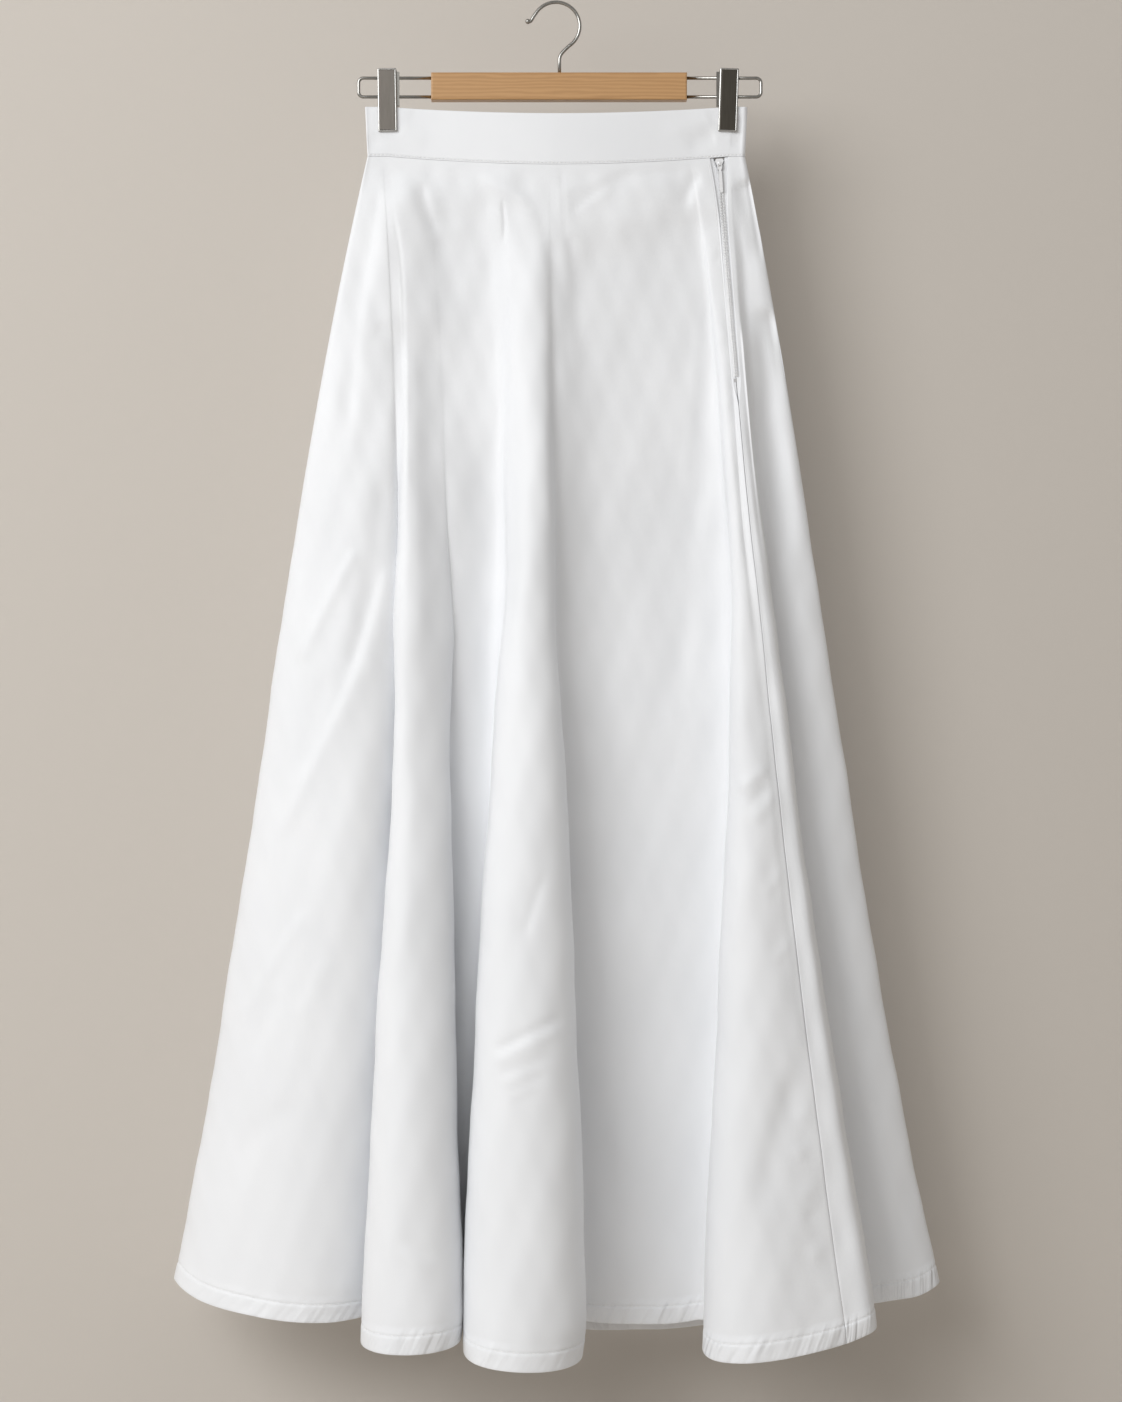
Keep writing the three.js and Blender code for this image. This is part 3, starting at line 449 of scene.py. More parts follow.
# The second fold's step starts softly down to START_SOFT. The rest is counted in hang lines.
START_SOFT = (0.17, 0.31)
START_CENTRE = FIRST["fold_a"] - 0.4
START_FADE = (1.4, 2.6)
START_REACH = 1.0
# A crease reaches this many half-widths, and its path has more steps the wider it is
CREASE_REACH = 3.0
PATH_STEPS = {"least": 4, "width": 3}
# Slow unevenness of cloth that hangs: height, then waves per metre across and down, and phase
UNEVEN = [(0.35, 9, 3, 0.4), (0.3, 15, -5, 1.9), (0.22, 24, 8, 3.1), (0.16, 37, -13, 5.2), (0.1, 55, 21, 2.6)]


def curve_through(points, per_span):
    """A smooth curve through points, of two or three numbers each."""
    points = np.asarray(points, float)
    padded = np.vstack([2 * points[0] - points[1], points, 2 * points[-1] - points[-2]])
    share = (np.arange(per_span) / per_span)[:, None]
    spans = []
    for i in range(1, len(padded) - 2):
        a, b, c, d = padded[i - 1:i + 3]
        spans.append(0.5 * (2 * b + (c - a) * share + (2 * a - 5 * b + 4 * c - d) * share ** 2
                            + (3 * b - a - 3 * c + d) * share ** 3))
    return np.vstack(spans + [points[-1:]])


def path_place(x, z, path):
    """Each place's distance from a path, the side that it is on and how far along it is."""
    nearest = np.full(x.shape, np.inf)
    side, along = np.zeros(x.shape), np.zeros(x.shape)
    travelled = 0.0
    for start, end in zip(path[:-1], path[1:]):
        step = end - start
        length = math.hypot(*step)
        way_x, way_z = step / length
        off_x, off_z = x - start[0], z - start[1]
        share = np.clip(off_x * way_x + off_z * way_z, 0, length)
        away = np.hypot(off_x - share * way_x, off_z - share * way_z)
        closer = away < nearest
        nearest = np.where(closer, away, nearest)
        side = np.where(closer, way_x * off_z - way_z * off_x, side)
        along = np.where(closer, travelled + share, along)
        travelled += length
    return nearest, side, along, travelled


def near_start(around):
    """One beside the line where the second fold's step begins, zero away from it."""
    return 1 - smoothstep(np.abs(np.mod(around, LINES) - START_CENTRE), *START_FADE)


def lift_at(zones, around, point):
    """The summed height of creases at places on the cloth."""
    x, z = point[..., 0], point[..., 2]
    wrapped = np.mod(around, LINES)
    total = np.zeros(x.shape)
    for (first, last), row in ((ZONES[zone], row) for zone in zones for row in zones[zone]):
        height, one_side, other_side, start, end, *path = row
        widest = max(one_side, other_side)
        margin = CREASE_REACH * widest
        line = curve_through(path, PATH_STEPS["least"] + int(widest / PATH_STEPS["width"]))
        low, high = line.min(0) - margin, line.max(0) + margin
        near = (x > low[0]) & (x < high[0]) & (z > low[1]) & (z < high[1])
        near &= (wrapped > first) & (wrapped < last)
        if not near.any():
            continue
        away, side, along, length = path_place(x[near], z[near], line)
        width = np.where(side < 0, one_side, other_side)
        fade = smoothstep(along, 0, start) * (1 - smoothstep(along, length - end, length))
        inside = smoothstep(wrapped[near], first, first + 1) * (1 - smoothstep(wrapped[near], last - 1, last))
        total[near] += height * fade * inside * np.exp(-(away / width) ** 2)
    return total


def crease_height(around, down, point):
    """How far the creases, the unevenness and the turned hem lift the cloth from its smooth form."""
    x, z = point[..., 0], point[..., 2]
    angle = 2 * math.pi * MM
    waves = sum(size * np.sin(angle * (wide * x + tall * z) + phase) for size, wide, tall, phase in UNEVEN)
    below = (down - HEM_START) * SKIRT_LENGTH
    hem = HEM_SWELL["lift"] * smoothstep(below, 0, HEM_SWELL["over"])
    hem -= HEM_SWELL["groove"] * np.exp(-(below / HEM_SWELL["half_width"]) ** 2)
    lift = lift_at(CREASES, around, point)
    deepest = lerp(*TROUGH_LIMIT, smoothstep(down, *TROUGH_HEIGHTS))
    lift = np.where(lift < 0, deepest * np.tanh(lift / deepest), lift)
    return (lift + waves) * smoothstep(down, 0, CREASE_START) + hem


def cloth_point(around, down, depth=0.0):
    """Places on the creased cloth, at a depth below its outer face."""
    around, down = np.broadcast_arrays(around, down)
    point = smooth_point(around, down)
    out = cloth_frame(around, down)[2]
    straight = np.zeros(out.shape)
    straight[..., 1] = out[..., 1] / np.hypot(out[..., 1], FACING_SOFT)
    lift = lerp(straight, out, smoothstep(down, *STRAIGHT_LIFT)[..., None])
    lift = lift * crease_height(around, down, point)[..., None]
    softened = near_start(around) * (1 - smoothstep(down, *START_SOFT))
    sides = smooth_point(around - START_REACH, down) + smooth_point(around + START_REACH, down)
    point[..., 1] = lerp(point[..., 1], (sides[..., 1] + point[..., 1]) / 3, softened)
    return point + lift - out * np.asarray(depth)[..., None]


# Mesh helpers
def mesh_object(name, points, faces, material, smooth=True, uv=None):
    mesh = bpy.data.meshes.new(name)
    mesh.from_pydata((np.asarray(points).reshape(-1, 3) * MM).tolist(), [], faces)
    mesh.validate()
    if uv is not None:
        layer = mesh.uv_layers.new(name="cut")
        corners = np.zeros(len(mesh.loops), dtype=np.int32)
        mesh.loops.foreach_get("vertex_index", corners)
        layer.data.foreach_set("uv", (uv.reshape(-1, 2)[corners] * MM).ravel())
    mesh.polygons.foreach_set("use_smooth", [smooth] * len(mesh.polygons))
    mesh.materials.append(material)
    piece = bpy.data.objects.new(name, mesh)
    bpy.context.scene.collection.objects.link(piece)
    return piece


def grid_faces(rows, columns, closed_round=False):
    across = np.arange(columns if closed_round else columns - 1)
    top, left = np.meshgrid(np.arange(rows - 1) * columns, across, indexing="ij")
    right = (left + 1) % columns
    quads = np.stack([top + left, top + columns + left, top + columns + right, top + right], axis=-1)
    return quads.reshape(-1, 4).tolist()


def tube_faces(rows, columns):
    """Faces of a form made of closed rings, with both its ends closed."""
    count = rows * columns
    ends = [list(range(columns)), [count - 1 - i for i in range(columns)]]
    return grid_faces(rows, columns, closed_round=True) + ends


def add_piece(piece, replaces=()):
    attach(piece, BODY)
    if replaces:
        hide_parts(*replaces)
    return piece


# Materials, and the output that is read from each kind of node
NODE_OUTPUTS = {
    "TexCoord": "Object", "UVMap": "UV", "Mapping": "Vector", "CombineXYZ": "Vector", "SeparateXYZ": "X",
    "TexNoise": "Fac", "TexWave": "Fac", "ValToRGB": "Color", "Mix": "Result", "MapRange": "Result",
    "Math": "Value", "VectorMath": "Value", "Bump": "Normal", "BsdfTransparent": "BSDF",
    "NewGeometry": "Backfacing", "LightPath": "Is Shadow Ray", "MixShader": "Shader",
}


def feed(entry, value):
    """Gives a node's input a value or another node's output."""
    if isinstance(value, bpy.types.NodeSocket):
        entry.id_data.links.new(value, entry)
    else:
        entry.default_value = value


def set_up(node, *ordered, **named):
    """Fills a node's settings and inputs by name, then its inputs in order."""
    for key, value in named.items():
        label = key.replace("_", " ")
        if label in node.inputs:
            feed(node.inputs[label], value)
        else:
            setattr(node, key, value)
    for entry, value in zip(node.inputs, ordered):
        feed(entry, value)


def new_material(name):
    """A material, its shader and a function that adds a node and returns its output."""
    material = bpy.data.materials.new(name)
    material.use_nodes = True
    nodes = material.node_tree.nodes

    def add_node(kind, *ordered, **named):
        node = nodes.new("ShaderNode" + kind)
        set_up(node, *ordered, **named)
        return node.outputs[NODE_OUTPUTS[kind]]

    return material, nodes["Principled BSDF"], add_node


def ramp(add_node, value, stops):
    colour = add_node("ValToRGB", Fac=value)
    elements = colour.node.color_ramp.elements
    while len(elements) < len(stops):
        elements.new(0.5)
    for element, (place, tone) in zip(elements, stops):
        element.position = place
        element.color = (*tone, 1)
    return colour


def hem_puckers(add_node, uv):
    """Small slanting puckers in the turned hem, which is the outer edge of the cut."""
    hem_radius = (CUT_RADIUS + SKIRT_LENGTH) * MM
    turn_radius = (CUT_RADIUS + HEM_START * SKIRT_LENGTH) * MM
    radius = add_node("VectorMath", uv, operation="LENGTH")
    x = add_node("SeparateXYZ", uv)
    angle = add_node("Math", x, x.node.outputs["Y"], operation="ARCTAN2")
    arc_length = add_node("Math", angle, hem_radius, operation="MULTIPLY")
    slanted = add_node("Math", radius, PUCKER["slant"], arc_length, operation="MULTIPLY_ADD")
    place = add_node("CombineXYZ", X=slanted, Y=radius)
    stretched = add_node("Mapping", Vector=place, Scale=PUCKER["stretch"])
    noise = add_node("TexNoise", Vector=stretched, Scale=85.0, Detail=1.0, Roughness=0.4)
    spread = add_node("TexNoise", Vector=place, Scale=9.0, Detail=1.0)
    start = add_node("MapRange", Value=radius, interpolation_type="SMOOTHSTEP",
                     From_Min=turn_radius - PUCKER["above"] * MM, From_Max=turn_radius + PUCKER["below"] * MM)
    amount = add_node("MapRange", Value=spread, From_Min=0.4, From_Max=0.65, To_Min=0.25)
    share = add_node("Math", noise, start, operation="MULTIPLY")
    height = add_node("Math", share, amount, operation="MULTIPLY")
    return add_node("Bump", Height=height, Strength=1.0, Distance=PUCKER["height"] * MM)


def cloth_material():
    """White satin-like twill: fine diagonal ribs, a soft sheen and slight unevenness."""
    material, shader, add_node = new_material("satin_cloth")
    uv = add_node("UVMap", uv_map="cut")
    turned = add_node("Mapping", Vector=uv, Rotation=(0, 0, math.radians(63)))
    twill = add_node("TexWave", Vector=turned, Scale=520.0, Distortion=0.6, Detail=1.0)
    slub = add_node("TexNoise", Vector=uv, Scale=140.0, Detail=3.0, Roughness=0.6)
    cloud = add_node("TexNoise", Vector=uv, Scale=9.0, Detail=2.0)
    slub_height = add_node("Math", slub, 1.6, operation="MULTIPLY")
    height = add_node("Math", twill, slub_height, operation="ADD")
    bump = add_node("Bump", Height=height, Normal=hem_puckers(add_node, uv), Strength=0.25,
                    Distance=0.06 * MM)
    whites = [(0.3, (0.79, 0.803, 0.826)), (0.7, (0.828, 0.84, 0.862))]
    set_up(shader, Base_Color=ramp(add_node, cloud, whites),
           Roughness=add_node("MapRange", Value=slub, To_Min=0.42, To_Max=0.54), Normal=bump,
           Sheen_Weight=0.2, Sheen_Roughness=0.4, Specular_IOR_Level=0.4)
    return material


def thread_material():
    material, shader, add_node = new_material("thread")
    noise = add_node("TexNoise", Vector=add_node("TexCoord"), Scale=900.0, Detail=2.0)
    tone = ramp(add_node, noise, [(0.3, (0.82, 0.825, 0.835)), (0.7, (0.9, 0.9, 0.905))])
    set_up(shader, Base_Color=tone, Roughness=0.45)
    return material


def metal_material(name, dark, light, rough_low, rough_high, brushed=1):
    """Nickel or steel with fine brushing and slight unevenness in its gloss."""
    material, shader, add_node = new_material(name)
    stretched = add_node("Mapping", Vector=add_node("TexCoord"), Scale=(1, 1, brushed))
    noise = add_node("TexNoise", Vector=stretched, Scale=420.0, Detail=4.0, Roughness=0.6)
    set_up(shader, Base_Color=ramp(add_node, noise, [(0.25, dark), (0.75, light)]), Metallic=1.0,
           Roughness=add_node("MapRange", Value=noise, To_Min=rough_low, To_Max=rough_high),
           Normal=add_node("Bump", Height=noise, Strength=0.15, Distance=0.03 * MM))
    return material


def beech_material():
    """Pale varnished beech: long wavy grain with short darker flecks."""
    material, shader, add_node = new_material("beech")
    stretched = add_node("Mapping", Vector=add_node("TexCoord"), Scale=(0.12, 1, 1))
    grain = add_node("TexWave", Vector=stretched, bands_direction="Z", Scale=95.0, Distortion=7.0,
                     Detail=4.0, Detail_Scale=1.4)
    fleck = add_node("TexNoise", Vector=stretched, Scale=420.0, Detail=4.0, Roughness=0.7)
    cloud = add_node("TexNoise", Vector=stretched, Scale=22.0, Detail=2.0)
    flecked = add_node("Mix", data_type="FLOAT", Factor=0.42, A=grain, B=fleck)
    clouded = add_node("Mix", data_type="FLOAT", Factor=0.35, A=flecked, B=cloud)
    browns = [(0.0, (0.36, 0.19, 0.075)), (0.5, (0.47, 0.262, 0.108)), (1.0, (0.55, 0.32, 0.142))]
    set_up(shader, Base_Color=ramp(add_node, clouded, browns), Roughness=0.42,
           Normal=add_node("Bump", Height=fleck, Strength=0.2, Distance=0.08 * MM))
    return material


CLOTH = cloth_material()
THREAD = thread_material()
WIRE = metal_material("wire_chrome", (0.3, 0.29, 0.272), (0.38, 0.37, 0.35), 0.12, 0.2)
# The clips' plates are one metal in two tones: the left one is painted lighter as a painted reflection, the
# right one darker as painted shade
PAINTED_LIT_AND_SHADED_PLATES = {
    "left": metal_material("clip_plate_painted_light_left", (0.135, 0.122, 0.108), (0.165, 0.15, 0.134), 0.3, 0.38, 0.1),
    "right": metal_material("clip_plate_painted_shade_right", (0.076, 0.068, 0.056), (0.094, 0.085, 0.071), 0.3, 0.38, 0.1),
}
RIM_METAL = metal_material("rim_metal", (0.4, 0.39, 0.375), (0.5, 0.49, 0.47), 0.2, 0.28)
SLEEVE_METAL = metal_material("sleeve_metal", (0.2, 0.19, 0.175), (0.28, 0.27, 0.25), 0.25, 0.35)
ZIP_METAL = metal_material("zip_metal", (0.84, 0.84, 0.85), (0.93, 0.93, 0.94), 0.36, 0.48)
BEECH = beech_material()


# Panels: one thin sheet each, its hem and its zip edge turned in as a sewer turns them
EDGE_REACH = 8
PANEL_ROWS = 275
PANEL_COLUMNS = 312
# Rows beside the hem's stitches, in millimetres below them, and the main grid's end above them
HEM_ROWS = [-1.8, -1.0, -0.5, 0.0, 0.5, 1.0, 1.8, 3.0, 5.0, 7.5, 10.0, 12.5, 14.6]
HEM_MARGIN = 3.0
# The turned hem's height above the lowest row, and the turned side edges' inset: each with its depth
HEM_TURN = [(0.1, 0.15), (0.0, 0.45), (0.1, 0.8), (0.5, 1.0), (7.5, 1.05), (HEM_DEPTH, 1.1)]
TURN = [(0.35, 0.0), (0.08, 0.2), (0.0, 0.5), (0.08, 0.8), (0.35, 1.0), (3.0, 1.05), (8.0, 1.1)]


def panel(side, first, last, first_gap, last_gap):
    """A grid of places round and down the cloth between two seams, with turned edges."""
    share = np.linspace(0, 1, PANEL_COLUMNS + 1)
    main = np.concatenate([np.linspace(0, HEM_START - HEM_MARGIN / SKIRT_LENGTH, PANEL_ROWS),
                           HEM_START + np.array(HEM_ROWS) / SKIRT_LENGTH])
    down = np.concatenate([main, [1 - above / SKIRT_LENGTH for above, _ in HEM_TURN]])
    row_depth = np.concatenate([np.zeros(len(main)), [depth for _, depth in HEM_TURN]])
    first_shift = [beside_seam(first, first_gap(down) + inset, down) - first for inset, _ in TURN]
    last_shift = [beside_seam(last, -last_gap(down) - inset, down) - last for inset, _ in TURN]
    near_first = first_shift[0][:, None] * (1 - share) ** EDGE_REACH
    near_last = last_shift[0][:, None] * share ** EDGE_REACH
    middle = lerp(first, last, share)[None, :] + near_first + near_last
    before = np.stack([first + shift for shift in first_shift[:0:-1]], axis=1)
    after = np.stack([last + shift for shift in last_shift[1:]], axis=1)
    around = np.concatenate([before, middle, after], axis=1)
    turn_depth = [depth for _, depth in TURN[1:]]
    column_depth = np.concatenate([turn_depth[::-1], np.zeros(len(share)), turn_depth])
    down_grid = np.repeat(down[:, None], around.shape[1], axis=1)
    points = cloth_point(around, down_grid, (row_depth[:, None] + column_depth[None, :]) * CLOTH_THICK)
    radius = CUT_RADIUS + down_grid * SKIRT_LENGTH
    angle = (around - first) / (last - first) * CUT_ANGLE
    uv = np.stack([radius * np.sin(angle), radius * np.cos(angle)], axis=-1)
    piece = mesh_object(f"skirt_{side}_cloth", points, grid_faces(*around.shape), CLOTH, uv=uv)
    return add_piece(piece, replaces=(f"skirt_{side}",))


def seam_half_gap(_):
    return PIECE_GAP / 2


# Waistband: a closed ring of folded cloth, pressed flat under the clips
BAND = {"height": 42.0, "wall": 1.7, "round": 640.0, "columns": 360, "inside": 12.0, "groove": 0.32,
        "groove_half": 0.4}
# Heights of the rows beside its stitches
BAND_STITCH_ROWS = [0.9, 1.2, 1.4, 1.6, 1.8, 2.1, 3.0]
# Over this share of its height the dents fade in above its sewn edge
BAND_DENT_START = 0.1


def band_point(around, height, depth):
    """A place on the band: height 0 is its sewn edge and 1 its top, depth is inwards."""
    seam = np.zeros(np.shape(around))
    point = smooth_point(around, seam)
    out = cloth_frame(around, seam)[2]
    out[..., 2] = 0
    out = unit(out)
    low = edge_height(WAIST_SEAM, point[..., 0]) + BAND_GAP
    high = edge_height(BAND_TOP, point[..., 0])
    point = point - out * np.asarray(depth)[..., None]
    point[..., 0] *= 1 + BAND_FLARE * height
    point[..., 2] = lerp(low, high, height)
    dents = lift_at(BAND_DENTS, around, point) * smoothstep(height, 0, BAND_DENT_START)
    return point + out * dents[..., None]


def build_band():
    """The band's section goes from the inside of its sewn edge over its top: height and depth."""
    top, wall, columns = BAND["height"], BAND["wall"], BAND["columns"]
    profile = [(8.0, wall), (0.5, wall), (0.12, wall - 0.3), (0.0, wall / 2), (0.06, 0.16), (0.3, 0.02)]
    profile += [(y, 0.0) for y in BAND_STITCH_ROWS]
    profile += [(y, 0.0) for y in np.linspace(5, top - 1.4, 14)]
    profile += [(top - 0.5, 0.08), (top - 0.1, 0.4), (top, wall / 2)]
    profile += [(top - 0.1, wall - 0.4), (top - 0.5, wall - 0.05), (top - BAND["inside"], wall)]
    height, depth = np.array(profile).T
    groove = BAND["groove"] * np.exp(-((height - BAND_STITCH) / BAND["groove_half"]) ** 2)
    around, height = np.meshgrid(np.arange(columns) * LINES / columns, height / top)
    points = band_point(around, height, np.repeat((depth + groove)[:, None], columns, axis=1))
    uv = np.stack([around * BAND["round"] / LINES, height * top], axis=-1)
    faces = [face[::-1] for face in grid_faces(len(profile), columns, closed_round=True)]
    piece = mesh_object("waistband_cloth", points, faces, CLOTH, uv=uv)
    return add_piece(piece, replaces=("waistband",))


# Small joined forms: stitches and zip teeth
BEAD_SIDES = 6
# Shares of a bar's length, and of its radius there
BEAD_STATIONS = [(0.0, 0.35), (0.18, 0.9), (0.5, 1.0), (0.82, 0.9), (1.0, 0.35)]
STITCH_FLATNESS = 0.6
STITCHES = {
    "hem": {"pitch": 3.2, "length": 2.4, "radius": 0.28, "lift": 0.1, "places": 900, "short_of_seam": 0.1},
    "band": {"pitch": 3.2, "length": 2.4, "radius": 0.4, "lift": 0.04, "places": 1200},
    "zip": {"pitch": 2.6, "length": 2.0, "radius": 0.24, "lift": 0.05, "places": 300, "from_edge": 2.2,
            "top": 0.004, "below_zip": 0.012},
}


def joined_beads(name, starts, ends, outs, radius, flat):
    """A small rounded bar from each start to each end, flattened along its out direction."""
    along = unit(ends - starts)
    across = unit(np.cross(along, outs))
    up = np.cross(across, along)
    angle = np.arange(BEAD_SIDES) * 2 * math.pi / BEAD_SIDES
    rings = []
    for share, swell in BEAD_STATIONS:
        wide = across[:, None, :] * (np.cos(angle) * radius * swell)[None, :, None]
        high = up[:, None, :] * (np.sin(angle) * radius * swell * flat)[None, :, None]
        rings.append(lerp(starts, ends, share)[:, None, :] + wide + high)
    bead = tube_faces(len(BEAD_STATIONS), BEAD_SIDES)
    per = len(BEAD_STATIONS) * BEAD_SIDES
    faces = [[v + i * per for v in face] for i in range(len(starts)) for face in bead]
    return mesh_object(name, np.stack(rings, axis=1), faces, THREAD)


def stitch_row(name, size, place, around, down):
    """Stitches along a row of places, which a function gives for each (around, down, depth)."""
    path = place(around, down, -size["lift"])
    travel = np.concatenate([[0], np.cumsum(np.linalg.norm(np.diff(path, axis=0), axis=1))])
    begin = np.arange(size["pitch"] / 2, travel[-1] - size["pitch"], size["pitch"])

    def at(distance):
        return np.interp(distance, travel, around), np.interp(distance, travel, down)

    first, last = at(begin), at(begin + size["length"])
    starts, ends = place(*first, -size["lift"]), place(*last, -size["lift"])
    piece = joined_beads(name, starts, ends, cloth_frame(*first)[2], size["radius"], STITCH_FLATNESS)
    add_piece(piece)


def build_stitches():
    def on_band(around, height, depth):
        return band_point(around, height + BAND_STITCH / BAND["height"], depth)

    size = STITCHES["hem"]
    for side, first, last in (("front", REAR_SEAM - LINES, ZIP_SEAM), ("back", ZIP_SEAM, REAR_SEAM)):
        around = np.linspace(first + size["short_of_seam"], last - size["short_of_seam"], size["places"])
        stitch_row(f"hem_stitches_{side}", size, cloth_point, around, np.full(around.shape, HEM_START))
    size = STITCHES["band"]
    around = np.linspace(0, LINES, size["places"])
    stitch_row("band_stitches", size, on_band, around, np.zeros(around.shape))
    size = STITCHES["zip"]
    down = np.linspace(size["top"], ZIP_END + size["below_zip"], size["places"])
    edge = beside_seam(ZIP_SEAM, -zip_half_gap(down) - size["from_edge"], down)
    stitch_row("zip_stitches_front", size, cloth_point, edge, down)


# Zip: tapes behind the panels' edges, and teeth along them
TAPE = {"inner": 0.15, "outer": 9.5, "top_spread": 4.6, "spread_end": 0.016, "depth": 1.25, "thick": 0.6,
        "below_close": 0.004, "uv_step": 2.0}
# Rows of places down a tape, closer together where it spreads: start, end and count
TAPE_ROWS = [(0, 0.03, 14), (0.035, ZIP_CLOSED + TAPE["below_close"], 56)]
# Corners of a tape's section: share across, and share of its thickness
TAPE_SECTION = [(0, 0.5), (0.04, 0), (0.5, 0), (0.96, 0), (1, 0.5), (0.96, 1), (0.5, 1), (0.04, 1)]
# The teeth reach a little past the seam, between those of the other tape
TEETH = {"top": 0.009, "end_margin": 0.001, "pitch": 1.3, "width": 0.9, "inner": -0.15, "outer": 2.3,
         "depth": 0.75}


def build_tape(side, sign):
    down = np.concatenate([np.linspace(*rows) for rows in TAPE_ROWS])
    across, deep = np.array(TAPE_SECTION).T
    inner = TAPE["inner"] + TAPE["top_spread"] * np.maximum(0, 1 - down / TAPE["spread_end"])
    places = [beside_seam(ZIP_SEAM, sign * lerp(inner, TAPE["outer"], share), down) for share in across]
    around = np.stack(places, axis=1)
    down_grid = np.repeat(down[:, None], len(across), axis=1)
    points = cloth_point(around, down_grid, TAPE["depth"] + TAPE["thick"] * deep + np.zeros(around.shape))
    steps = np.arange(len(across)) * TAPE["uv_step"] + np.zeros(around.shape)
    uv = np.stack([steps, down_grid * SKIRT_LENGTH], axis=-1)
    piece = mesh_object(f"zip_tape_{side}_cloth", points, tube_faces(*around.shape), CLOTH, uv=uv)
    add_piece(piece, replaces=(f"zip_tape_{side}",))


def build_teeth(side, sign):
    """One tape's teeth, half a pitch lower on the back tape."""
    step = TEETH["pitch"] / SKIRT_LENGTH
    down = np.arange(TEETH["top"], ZIP_END - TEETH["end_margin"], step) + (0.5 * step if sign > 0 else 0)
    inner, outer = (cloth_point(beside_seam(ZIP_SEAM, sign * TEETH[edge], down), down, TEETH["depth"])
                    for edge in ("inner", "outer"))
    out = cloth_frame(np.full(down.shape, float(ZIP_SEAM)), down)[2]
    piece = joined_beads(f"zip_teeth_{side}", inner, outer, out, TEETH["width"] / 2, 1.0)
    add_piece(piece, replaces=(f"zip_chain_{side}",))


# Hanger wires
BAR = {"left": -104.7, "right": 109.8}
WIRE_SIDES = 20
HOOK = {"wire": 3.0, "radius": 20.0, "start": -56, "end": 147, "steps": 60, "bottom": (2.9, 0, -67.5)}
HOOK_BEND = [(2.9, 0, -46.4), (3.6, 0, -43.6), (5.4, 0, -40.8), (8.0, 0, -38.0)]
HOOK_TIP = [(-18.9, 0, -10.6), (-20.8, 0, -13.9), (-22.6, 0, -15.0)]
HOOK_STEPS = 6
HOOK_BALL = {"radius": 2.2, "centre": (-23.6, 0, -14.7), "segments": 24, "rings": 16}
LOOP = {"wire": 2.8, "top": -62.3, "bottom": -78.1, "left": -165.8, "right": 172.2, "corner": 4.0,
        "in_bar": 9.5, "steps": 10}


def swept_wire(name, knots, diameter, replaced):
    """A round wire along points in the X-Z plane, with closed ends."""
    steps = unit(np.diff(knots, axis=0))
    along = unit(np.vstack([steps[:1], steps]) + np.vstack([steps, steps[-1:]]))
    depth_way = np.array([0.0, 1.0, 0.0])
    side_way = np.cross(along, depth_way)
    angle = np.arange(WIRE_SIDES) * 2 * math.pi / WIRE_SIDES
    ring = np.cos(angle)[None, :, None] * depth_way + np.sin(angle)[None, :, None] * side_way[:, None, :]
    points = knots[:, None, :] + ring * diameter / 2
    piece = mesh_object(name, points, tube_faces(len(knots), WIRE_SIDES), WIRE)
    add_piece(piece, replaces=(replaced,))


def arc(centre_z, radius, start, end, steps):
    angle = np.radians(np.linspace(start, end, steps + 1))
    return np.stack([radius * np.cos(angle), 0 * angle, centre_z + radius * np.sin(angle)], axis=1)


def build_hook():
    bend = arc(HOOK["wire"] / 2 - HOOK["radius"], HOOK["radius"], HOOK["start"], HOOK["end"], HOOK["steps"])
    knots = np.vstack([[HOOK["bottom"]], curve_through(HOOK_BEND, HOOK_STEPS)[:-1], bend,
                       curve_through(HOOK_TIP, HOOK_STEPS)])
    swept_wire("hook_wire", knots, HOOK["wire"], "hanger_hook")
    ball = bmesh.new()
    bmesh.ops.create_uvsphere(ball, u_segments=HOOK_BALL["segments"], v_segments=HOOK_BALL["rings"],
                              radius=HOOK_BALL["radius"])
    ball.verts.index_update()
    points = np.array([vertex.co for vertex in ball.verts]) + HOOK_BALL["centre"]
    faces = [[vertex.index for vertex in face.verts] for face in ball.faces]
    ball.free()
    add_piece(mesh_object("hook_ball", points, faces, WIRE))


def build_loop(side):
    sign = -1 if side == "left" else 1
    inner = BAR[side] - sign * LOOP["in_bar"]
    radius = LOOP["corner"]
    bend = np.vstack([arc(LOOP["top"] - radius, radius, 90, 0, LOOP["steps"]),
                      arc(LOOP["bottom"] + radius, radius, 0, -90, LOOP["steps"])])
    bend[:, 0] = LOOP[side] + sign * (bend[:, 0] - radius)
    knots = np.vstack([[(inner, 0, LOOP["top"])], bend, [(inner, 0, LOOP["bottom"])]])
    swept_wire(f"loop_wire_{side}", knots, LOOP["wire"], f"hanger_wire_{side}")


# Clips: a brushed plate in a rounded bright rim, with a fine groove between them
JAW = {"width": 16.0, "top": -54.8, "bottom": -108.1, "thickness": 2.0, "corner": 1.0, "least_corner": 0.15}
JAW_CORNER_POINTS = 5
JAW_TILT = {"left": 0.9, "right": -1.9}
# Each row of a profile is an inset from the jaw's outline and a depth below its face
RIM_PROFILE = [(1.55, 0.6), (1.5, 0.3), (1.35, 0.08), (1.1, 0.0), (0.6, 0.02), (0.25, 0.2), (0.05, 0.5),
               (0.0, 0.9), (0.0, JAW["thickness"])]
PLATE_PROFILE = [(1.55, 0.6), (1.6, 0.2), (1.75, 0.14)]


